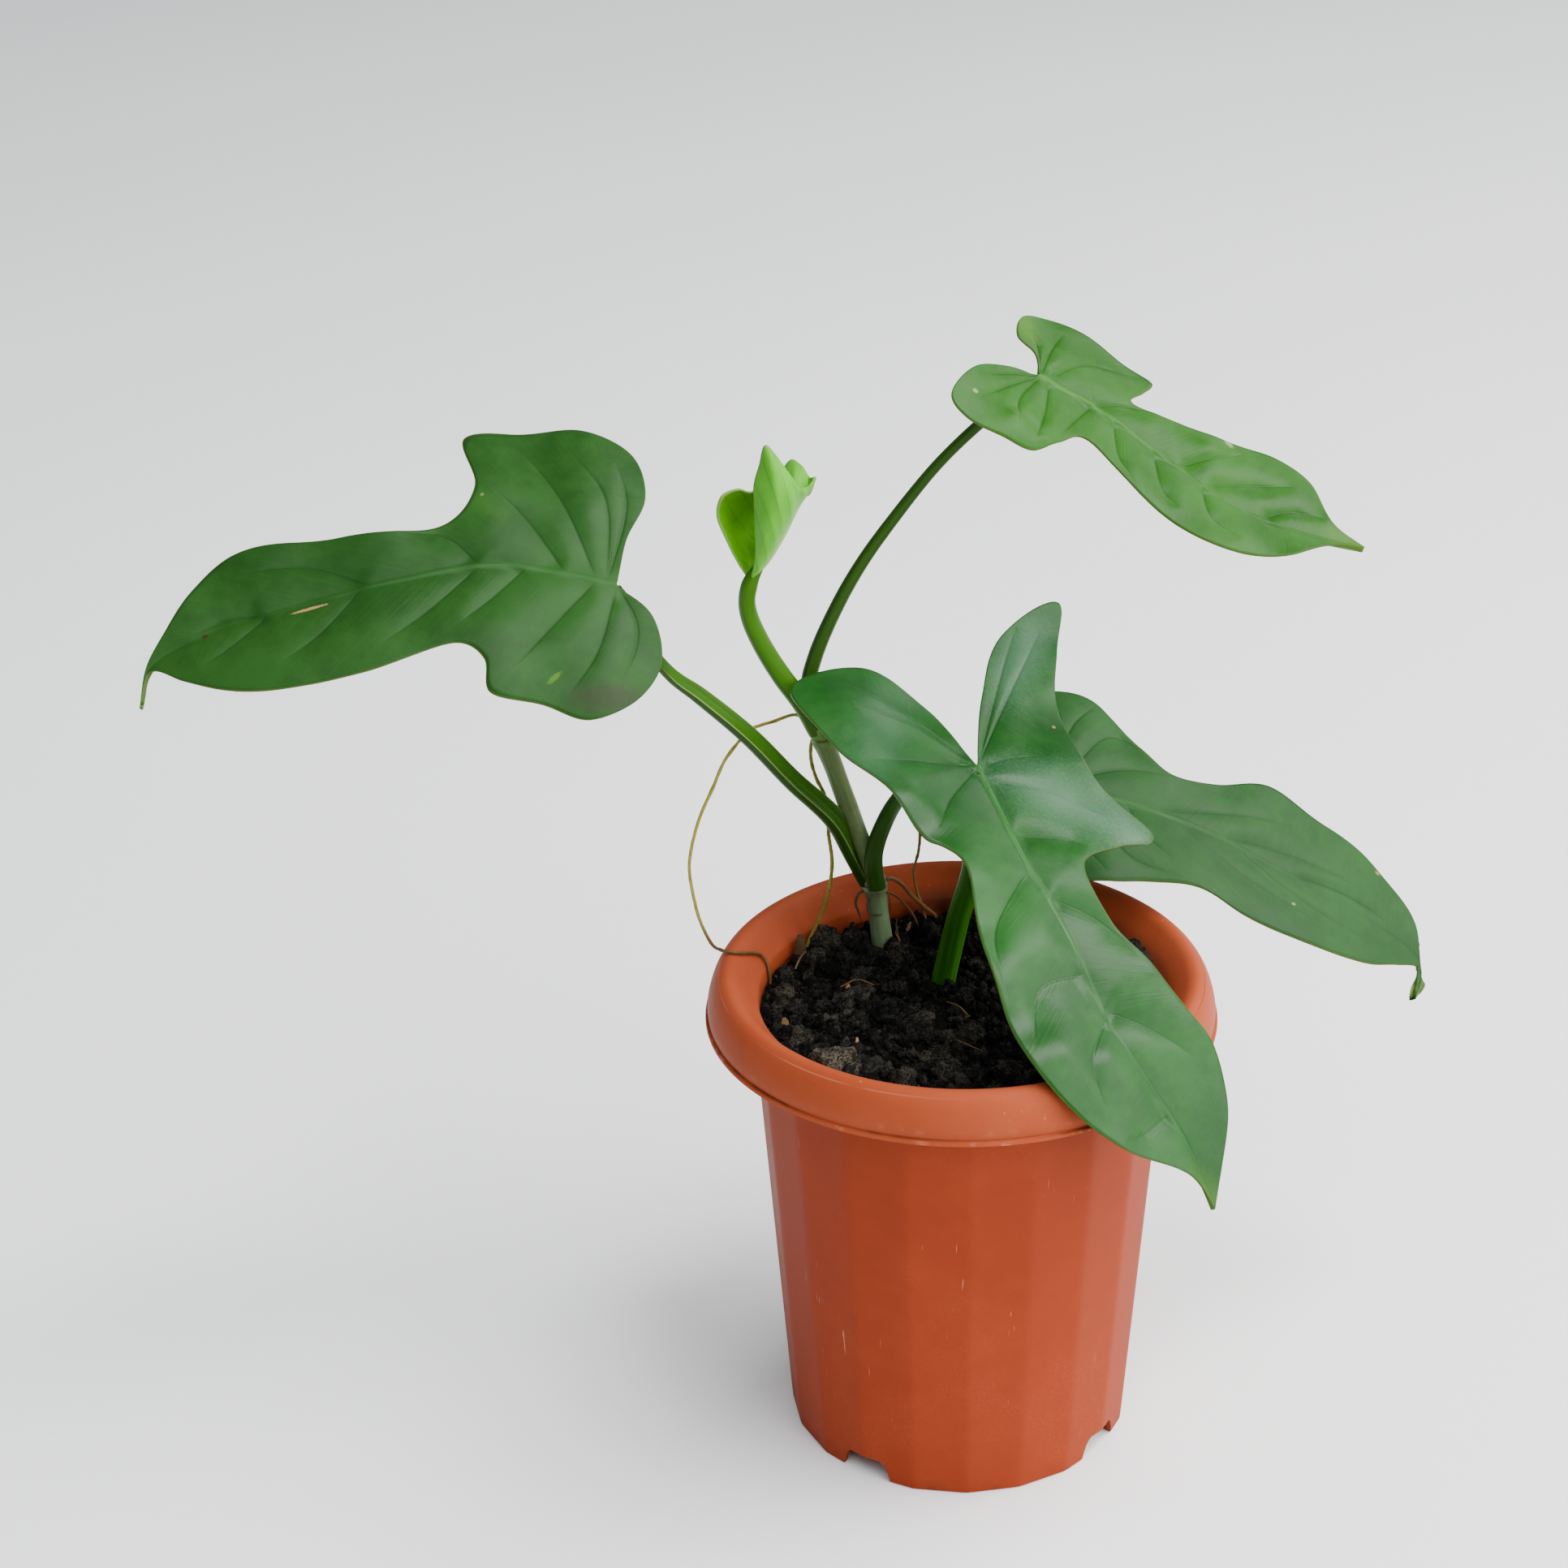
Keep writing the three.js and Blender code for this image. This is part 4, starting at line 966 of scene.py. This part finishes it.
# Deep, light and rib green of each leaf, its specular level, roughness and strength of fine veins, then its marks:
# along, across, length, width, turn, softness, strength and colour
LEAF_LOOKS = {
    "left": ((0.0072, 0.040, 0.0040), (0.0120, 0.058, 0.0066), (0.020, 0.078, 0.014), 0.12, 0.38, 0.12, [
        (103, -6, 5.8, 0.55, -0.1, 0.3, 0.9, TAN), (139, -4, 1.1, 0.8, 0, 0.3, 0.9, BROWN),
        (26, 33, 2.8, 0.9, -0.6, 0.4, 0.8, LIME), (9, 42, 12, 4.5, 0.1, 0.7, 0.75, SMUDGE),
        (42, -38, 12, 3.2, 0.9, 0.7, 0.12, LIME), (40, -40, 0.7, 0.6, 0, 0.3, 0.4, PALE),
    ]),
    "top": ((0.0100, 0.062, 0.0030), (0.0180, 0.090, 0.0064), (0.034, 0.130, 0.012), 0.10, 0.26, 0.10, [
        (-16, -24, 1.0, 0.8, 0, 0.3, 0.9, PALE), (67, 15.5, 1.8, 1.1, 0.4, 0.4, 0.9, PALE),
        (-13, 17, 7, 4, 0.9, 0.8, 0.6, LIME), (118, 0, 9, 4, 0, 0.8, 0.6, LIME),
    ]),
    "front": ((0.0046, 0.047, 0.0046), (0.0096, 0.073, 0.0084), (0.018, 0.108, 0.012), 0.165, 0.28, 0.08, [
        (-6, 35.5, 0.7, 0.55, 0, 0.3, 0.8, TAN), (173, 0, 10, 4, 0, 0.9, 0.4, LIME),
        # Soft pale patches of painted sheen, with some waxy bloom, on the front leaf's shoulder, ear and lobe
        (24, 22, 20, 11, -0.7, 0.95, 0.55, SHEEN_AND_BLOOM), (-38, 42, 20, 7, 0.87, 0.95, 0.5, SHEEN_AND_BLOOM),
        (44, 35, 9, 6, -0.4, 0.95, 0.4, SHEEN_AND_BLOOM), (-24, -26, 26, 9, 0.8, 0.95, 0.22, SHEEN_AND_BLOOM),
    ]),
    "right": ((0.0064, 0.043, 0.0055), (0.0115, 0.062, 0.0090), (0.022, 0.094, 0.015), 0.125, 0.38, 0.10, [
        (107, -5, 0.8, 0.6, 0, 0.3, 0.8, PALE), (133.5, 28, 1.0, 0.7, 0, 0.3, 0.6, TAN),
    ]),
}


def read_map(place, name):
    return add_node(place.id_data, "UVMap", uv_map=name).outputs[0]


def leaf_material(name):
    """Upper skin of one leaf: mottled green, fine parallel veins, painted shade along the vein creases, a paler
    midrib and a thin dry margin.
    """
    deep, light, rib_green, specular, gloss, lines, marks = LEAF_LOOKS[name]
    length = LEAVES[name]["length"]
    material, place = new_material("upper_skin_of_" + name + "_leaf", specular=specular)
    flat = read_map(place, "flat")
    along = split(flat)[0]
    ribs = split(read_map(place, "ribs"))
    rib_gap, vein_side, vein_near, edge = (read_field(place, key) for key in LEAF_FIELDS)
    patches = use_group(mottle, Vector=place, Scale=30.0)
    colour = blend(span(patches, 0.36, 0.64), deep, light)
    fine_place = add_node(place.id_data, "CombineXYZ", {0: times(ribs[0], 420.0), 1: times(ribs[1], 2.0)}).outputs[0]
    fine_veins = cloud(fine_place, 1.0, 1.0, 0.4)
    colour = blend(span(fine_veins, 0.45, 0.7, 0.0, lines), colour, rib_green)
    vein_gap = calculate("ABSOLUTE", vein_side)
    # Painted shade along the vein creases
    vein_crease_shade = times(span(vein_gap, 0.8, 0.15), vein_near)
    colour = paint(colour, vein_crease_shade, 0.35, [0.6 * value for value in deep])
    rib_fade = span(along, 0.1 * length, 0.7 * length, 0.65, 0.0)
    colour = blend(times(span(rib_gap, 0.8, 0.45), rib_fade), colour, rib_green)
    for *shape, strength, tint in marks:
        colour = paint(colour, use_group(mark, Vector=flat, **dict(zip(MARK_SHAPE, shape))), strength, tint)
    dots = use_group(specks, Vector=place, Scale=260.0, Share=0.02, Size=0.07)
    colour = paint(colour, dots, 0.4, PALE)
    colour = blend(span(edge, 0.984, 0.995, 0.0, 0.5), colour, (0.070, 0.095, 0.012))
    relief = plus(times(fine_veins, 0.3 + lines), times(cloud(place, 200.0, 3.0, 0.5), 0.6))
    furrow = times(span(vein_gap, 1.0, 0.0), vein_near)
    rib_furrow = times(span(rib_gap, 1.5, 0.0), span(along, 0.35 * length, 0.75 * length, 0.0, 1.4))
    relief = minus(minus(relief, times(furrow, 1.6)), rib_furrow)
    set_surface(colour, relief, 0.25, 0.0004, span(patches, 0.3, 0.7, gloss, gloss + 0.08))
    return material


leaf_back, place = new_material("leaf_underside", specular=0.2)
rib_gap, vein_side, vein_near = (read_field(place, key) for key in LEAF_FIELDS[:3])
patches = use_group(mottle, Vector=place, Scale=45.0)
colour = blend(span(patches, 0.3, 0.7), (0.028, 0.090, 0.016), (0.048, 0.130, 0.026))
raised = times(span(calculate("ABSOLUTE", vein_side), 0.8, 0.2), vein_near)
colour = paint(colour, raised, 0.6, (0.085, 0.17, 0.035))
colour = blend(span(rib_gap, 1.3, 0.8, 0.0, 0.85), colour, (0.11, 0.19, 0.045))
relief = plus(cloud(place, 420.0, 3.0), times(raised, 0.8))
set_surface(colour, relief, 0.4, 0.0004, span(patches, 0.3, 0.7, 0.5, 0.62))

for name in LEAVES:
    add_leaf(name, [leaf_material(name), leaf_back])


# Young leaf
# The newest leaf is still half furled. Both halves fold up from a pale yellow keel: the near one shows its pale
# underside with arched veins, and the far one shows its bright inside and rolls over at the top.
YOUNG_JOINT = (-71, 45, 310)
YOUNG_MIDRIB = [(0, 0, 0), (6, -1, 7), (12, -1, 17), (17, 0, 27), (21, 1, 33), (23, 2, 37)]
YOUNG_STARTS = [0, 0.04, 0.1, 0.18, 0.27, 0.37, 0.48, 0.58, 0.68, 0.78, 0.88, 1]
YOUNG_MARGINS = [
    [(0, 0, 0), (2, -3, 9), (2, -6, 21), (2, -7, 31), (2, -7, 38), (4, -6, 45), (6, -4, 51),
     (9, -5, 48), (13, -6, 42), (15, -6, 37), (19, -3, 35), (23, 2, 37)],
    [(0, 0, 0), (-4, 1, 6), (-8, 1, 15), (-11, 0, 25), (-9, -1, 32), (-4, 2, 33), (1, 7, 30),
     (7, 10, 34), (14, 4, 35), (16, -1, 34), (20, 0, 31), (23, 2, 37)],
]
YOUNG_MIDDLES = [
    [(0, 0, 0), (1, -3, 4), (3, -7, 11), (5, -11, 19), (7, -13, 25), (9, -14, 31), (11, -14, 36),
     (14, -12, 37), (16, -9, 37), (18, -6, 35), (20, -2, 34), (23, 2, 37)],
    [(0, 0, 0), (-1, 1, 2), (-2, 4, 6), (-3, 8, 9), (-3, 11, 15), (0, 13, 19), (5, 14, 24),
     (11, 14, 30), (15, 14, 38), (18, 10, 38), (21, 6, 35), (23, 2, 37)],
]
YOUNG_ROWS = 132
YOUNG_ACROSS = 40
YOUNG_VEINS = 9
YOUNG_SWELL = 0.11

young_skins = []
for name, deep, light in (
    ("young_leaf_outside", (0.070, 0.290, 0.014), (0.090, 0.340, 0.024)),
    ("young_leaf_inside", (0.064, 0.250, 0.0012), (0.092, 0.310, 0.0030)),
):
    material, place = new_material(name, specular=0.08)
    ribs = split(read_map(place, "ribs"))
    patches = use_group(mottle, Vector=place, Scale=90.0)
    colour = blend(span(patches, 0.3, 0.7), deep, light)
    bands = plus(times(ribs[0], YOUNG_VEINS), times(cloud(place, 60.0), 0.25))
    gap = gap_between(calculate("FRACT", bands), 0.5)
    veins = span(gap, 0.09, 0.02)
    colour = paint(colour, veins, 0.35, [0.7 * value for value in deep])
    across = calculate("ABSOLUTE", ribs[1])
    colour = blend(span(across, 0.13, 0.04, 0.0, 0.8), colour, (0.26, 0.36, 0.05))
    colour = blend(span(across, 0.965, 0.985, 0.0, 0.7), colour, (0.16, 0.26, 0.06))
    dots = use_group(specks, Vector=place, Scale=420.0, Share=0.02, Size=0.18)
    colour = paint(colour, dots, 0.8, (0.008, 0.016, 0.004))
    relief = plus(cloud(place, 300.0), times(veins, -0.5))
    set_surface(colour, relief, 0.4, 0.0004, span(patches, 0.3, 0.7, 0.36, 0.48))
    young_skins.append(material)

bm = bmesh.new()
ribs_map = bm.loops.layers.uv.new("ribs")
knots = np.linspace(0, 1, YOUNG_ROWS + 1)
starts = np.interp(knots, np.linspace(0, 1, len(YOUNG_STARTS)), YOUNG_STARTS)
root = read_line(smooth_line(YOUNG_MIDRIB), starts, by_length=True)
for half in (0, 1):
    grid = bmesh.ops.create_grid(bm, x_segments=YOUNG_ROWS, y_segments=YOUNG_ACROSS, size=1)["verts"]
    edge = read_line(smooth_line(YOUNG_MARGINS[half]), knots)
    bow = read_line(smooth_line(YOUNG_MIDDLES[half]), knots) - (root + edge) / 2
    for vert in grid:
        row = round((vert.co.x + 1) / 2 * YOUNG_ROWS)
        across = (vert.co.y + 1) / 2
        vein = -math.cos(2 * math.pi * YOUNG_VEINS * row / YOUNG_ROWS)
        place = root[row] * (1 - across) + edge[row] * across + bow[row] * 4 * across * (1 - across)
        swell = YOUNG_SWELL * vein * math.sin(math.pi * across)
        outward = bow[row] / (np.linalg.norm(bow[row]) + 1e-6)
        vert.co = place + YOUNG_JOINT + outward * swell
        for loop in vert.link_loops:
            loop[ribs_map].uv = (row / YOUNG_ROWS, across if half else -across)
bmesh.ops.remove_doubles(bm, verts=bm.verts, dist=2e-3)
bmesh.ops.dissolve_degenerate(bm, edges=bm.edges, dist=1e-4)
bmesh.ops.recalc_face_normals(bm, faces=bm.faces)
young = add_piece("blade_of_young_leaf", bm, "young_leaf", young_skins, "leaf_young", sharp=180)
thick = young.modifiers.new("blade", "SOLIDIFY")
thick.thickness = BLADE / 1000
thick.offset = 0
thick.material_offset = 1


# Aerial roots
# Five thin wiry roots, 1 to 1.5 mm thick, grow from the two nodes down into the soil. The yellow-olive skin turns
# brown where a root is dry: over the rim and at the lower node.
ROOTS = {
    "over_rim": [
        (-51, 53, 251), (-56, 57, 253), (-64, 54, 252), (-72, 50, 251), (-77, 47, 247), (-82, 44, 241),
        (-86, 40, 233), (-91, 36, 223), (-94, 33, 213), (-95, 31, 206), (-94, 29, 197), (-92, 27, 188),
        (-89, 24, 181.5), (-86.8, 20, 180), (-84, 16, 180.6), (-81, 13.6, 181.2), (-78, 14.4, 180.3),
        (-74.5, 18.5, 178), (-70.6, 22.5, 175.2), (-68.8, 22.6, 173.3), (-67.4, 20.5, 170), (-67, 19.5, 160),
    ],
    "left": [
        (-48, 52, 247), (-50.5, 54, 244), (-51, 54, 237), (-49, 53.5, 229), (-46, 53, 222), (-45, 52, 207),
        (-44, 50, 199), (-44.5, 49, 191), (-47, 47, 181), (-51, 45, 172), (-54, 43, 165), (-55, 43, 157),
    ],
    "right": [
        (-50, 52, 248), (-45, 57, 251), (-36, 61, 248), (-26, 64, 238), (-17, 66, 223), (-12.5, 66, 209),
        (-11.5, 66, 200), (-12, 66, 193), (-13.7, 65.5, 185), (-12.6, 65, 177), (-10.5, 65, 170), (-8, 65, 157),
    ],
    "low": [
        (-28.5, 50, 188), (-23, 50.5, 190), (-19.5, 53, 187), (-15, 58, 179), (-10, 62, 172), (-5.5, 65, 166),
        (-2, 66, 157),
    ],
    "lower": [
        (-28.5, 50, 186), (-25, 48, 186), (-21.4, 51, 183), (-18, 56, 177), (-15, 59, 171.5), (-13, 61, 166),
        (-12, 61, 157),
    ],
}
# Radius of each root, its dark and light colour, and the colour where it is dry
ROOT_LOOKS = {
    "over_rim": (0.62, (0.15, 0.135, 0.014), (0.30, 0.27, 0.045), (0.085, 0.032, 0.012)),
    "left": (0.68, (0.15, 0.145, 0.014), (0.30, 0.285, 0.04), (0.17, 0.135, 0.022)),
    "right": (0.55, (0.12, 0.095, 0.020), (0.24, 0.18, 0.038), (0.17, 0.095, 0.026)),
    "low": (0.75, (0.085, 0.042, 0.014), (0.20, 0.105, 0.034), (0.15, 0.070, 0.022)),
    "lower": (0.5, (0.070, 0.034, 0.012), (0.16, 0.085, 0.028), (0.12, 0.056, 0.020)),
}


def root_form(radius, share, turn, angle, z):
    """Uneven thickness and small lumps."""
    lumps = noise.noise((math.cos(angle), math.sin(angle), share * 90))
    return radius * (1 + 0.22 * noise.noise((share * 40, 0, 2)) + 0.15 * lumps)


for name, path in ROOTS.items():
    radius, dark, light, dry = ROOT_LOOKS[name]
    skin, place = new_material("skin_of_" + name + "_root", specular=0.18)
    along = use_group(streaks, Vector=unrolled(place), Count=1.6, Length=60.0)
    patches = use_group(mottle, Vector=place, Scale=120.0)
    colour = blend(span(along, 0.3, 0.7), dark, light)
    colour = paint(colour, span(split(place)[2], 0.190, 0.180), 0.9, dry)
    colour = blend(span(patches, 0.6, 0.75, 0.0, 0.5), colour, (0.04, 0.016, 0.006))
    set_surface(colour, along, 0.5, 0.0003, span(patches, 0.3, 0.7, 0.5, 0.7))

    tube = [(*point, radius) for point in path]
    add_tubes("aerial_root_" + name, "root", skin, [tube], 14 * len(path), 10, "root_" + name, form=root_form)


# Bits in the soil
# Chips of bark, dry fibres and stubs that came with the mix lie on it or stick out of it.
bits_skin, place = new_material("bark_chips", roughness=0.85, specular=0.15)
shade = read_field(place, "shade")
fibre = cloud(mapped(place, scale=(300, 300, 1400)), 1.0)
dark = blend(fibre, (0.008, 0.004, 0.002), (0.040, 0.020, 0.009))
tan = blend(fibre, (0.17, 0.075, 0.020), (0.42, 0.26, 0.11))
set_surface(blend(shade, dark, tan), fibre, 0.6, 0.0006)
# Place, length, width, thickness, heading, lean and shade of each chip
CHIPS = [
    (-39.7, 6.7, 6.5, 2.4, 1.0, 70, 70, 0.8), (-37, -28, 5.2, 1.6, 0.8, 100, 50, 0.9),
    (-50, 42, 5, 1.4, 0.8, 75, 65, 0.75), (-66, 22, 3.4, 1.5, 0.9, 20, 30, 0.5), (-16, 57, 4, 1.8, 0.9, 60, 40, 0.6),
    (2, -8, 2.2, 1.2, 0.7, 10, 25, 0.4), (21, -22, 2.4, 1.1, 0.7, 130, 30, 0.55),
    (26, 57, 4, 1.6, 0.9, 150, 50, 0.7), (38, -38, 2.8, 1.2, 0.8, 80, 10, 0.5), (48, 6, 3, 1.4, 0.9, 140, 25, 0.6),
    (-62, -12, 4, 3, 1.4, 110, 50, 0.25), (-56, 38, 11, 4.5, 3.2, 80, 72, 0.12), (2, 66, 10, 3.6, 3.2, 90, 85, 0.02),
]
FIBRES = [
    [(-5, -1, 167.6, 0.22), (-1, -6, 168.6, 0.24), (2, -11, 167.8, 0.2)],
    [(-10, -24, 168.4, 0.2), (-2, -31, 169, 0.22), (6, -36, 167.6, 0.18)],
    [(-22, 40, 167, 0.3), (-20, 38, 171, 0.34), (-21.5, 37, 175, 0.26), (-20.5, 36, 178, 0.2)],
    [(-58, 24, 168, 0.3), (-56, 27, 171, 0.3), (-54, 27, 173.5, 0.2)],
    [(30, 10, 167.4, 0.25), (36, 14, 168.8, 0.25), (44, 12, 167.4, 0.2)],
    [(-30, 12, 167.5, 0.2), (-36, 14, 168.8, 0.22), (-42, 11, 167.6, 0.18)],
]
FIBRE_SHADE = 0.45
bm = bmesh.new()
shade_layer = bm.verts.layers.float.new("shade")
for x, y, length, width, thickness, heading, lean, shade in CHIPS:
    made = bmesh.ops.create_icosphere(bm, subdivisions=3, radius=1)["verts"]
    for vert in made:
        ragged = 1 + 0.25 * noise.noise(vert.co * 2.3 + Vector((x, y, 0)))
        slab = Vector([math.copysign(abs(part) ** 0.6, part) for part in vert.co]) * ragged / 2
        vert.co = Vector((slab.x * length, slab.y * width * (1 - 0.9 * max(0, slab.x)), slab.z * thickness))
        vert[shade_layer] = shade
    turn = turned(heading, "Z") @ turned(-lean, "Y")
    lift = soil_height(x, y) + crumble(x, y) + 0.35 * length * math.sin(math.radians(lean))
    bmesh.ops.transform(bm, matrix=Matrix.Translation((x, y, lift)) @ turn, verts=made)
for path in FIBRES:
    for vert in add_tube(bm, path, 16, 6):
        vert[shade_layer] = FIBRE_SHADE
bmesh.ops.recalc_face_normals(bm, faces=bm.faces)
add_piece("soil_chips", bm, "soil", [bits_skin], sharp=50)


# Floor, light and camera
# The plant stands on a plain pale floor. A long bright panel hangs over its right side, and dimmer, larger ones
# light it from the right and from the front.
FLOOR_HALF = 9
floor_skin, place = new_material("pale_floor", roughness=0.85, specular=0.2)
tone = blend(cloud(place, 3.0), (0.87, 0.885, 0.885), (0.92, 0.93, 0.93))
set_surface(tone, cloud(place, 60.0, 4.0), 0.1, 0.002)
bm = bmesh.new()
bmesh.ops.create_grid(bm, x_segments=2, y_segments=2, size=FLOOR_HALF)
floor = new_object("floor", bm)
floor.data.materials.append(floor_skin)

world = bpy.data.worlds.new("studio")
world.use_nodes = True
backdrop = world.node_tree.nodes["Background"].inputs
backdrop["Color"].default_value = (0.86, 0.93, 1.0, 1)
backdrop["Strength"].default_value = 0.45
bpy.context.scene.world = world


def add_panel(name, place, aim, size, power, colour, spin=0):
    """Soft light panel that points at a place, spun about its own axis."""
    data = bpy.data.lights.new(name, "AREA")
    data.shape = "RECTANGLE"
    data.size, data.size_y = size
    data.energy = power
    data.color = colour
    panel = bpy.data.objects.new(name, data)
    panel.location = place
    turn = (Vector(aim) - Vector(place)).to_track_quat("-Z", "Y").to_matrix().to_4x4()
    panel.rotation_euler = (turn @ turned(spin, "Z")).to_euler()
    bpy.context.scene.collection.objects.link(panel)


add_panel("bright_panel", (0.8, -0.12, 2.1), (0.03, 0, 0.25), (1.6, 0.5), 50, (1.0, 0.99, 0.97), -45)
add_panel("main_panel", (2.3, -1.3, 1.6), (0.03, 0, 0.2), (3.2, 2.8), 185, (1.0, 0.98, 0.95))
add_panel("side_panel", (1.9, 1.0, 1.7), (0.03, 0, 0.2), (2.4, 2.0), 52, (1.0, 0.985, 0.96))
add_panel("front_panel", (0.0, -1.5, 2.2), (0, 0, 0.15), (1.8, 1.5), 30, (0.97, 0.985, 1.0))

CAMERA_PLACE = (-0.00807, -1.06719, 0.7703)
CAMERA_DIP = 0.4545
CAMERA_ROLL = -0.0182
view = bpy.data.cameras.new("camera")
view.lens = 79.2
view.sensor_width = 36
view.clip_end = 50
camera = bpy.data.objects.new("camera", view)
camera.matrix_world = (
    Matrix.Translation(CAMERA_PLACE)
    @ Matrix.Rotation(math.pi / 2 - CAMERA_DIP, 4, "X")
    @ Matrix.Rotation(CAMERA_ROLL, 4, "Z")
)
bpy.context.scene.collection.objects.link(camera)
bpy.context.scene.camera = camera
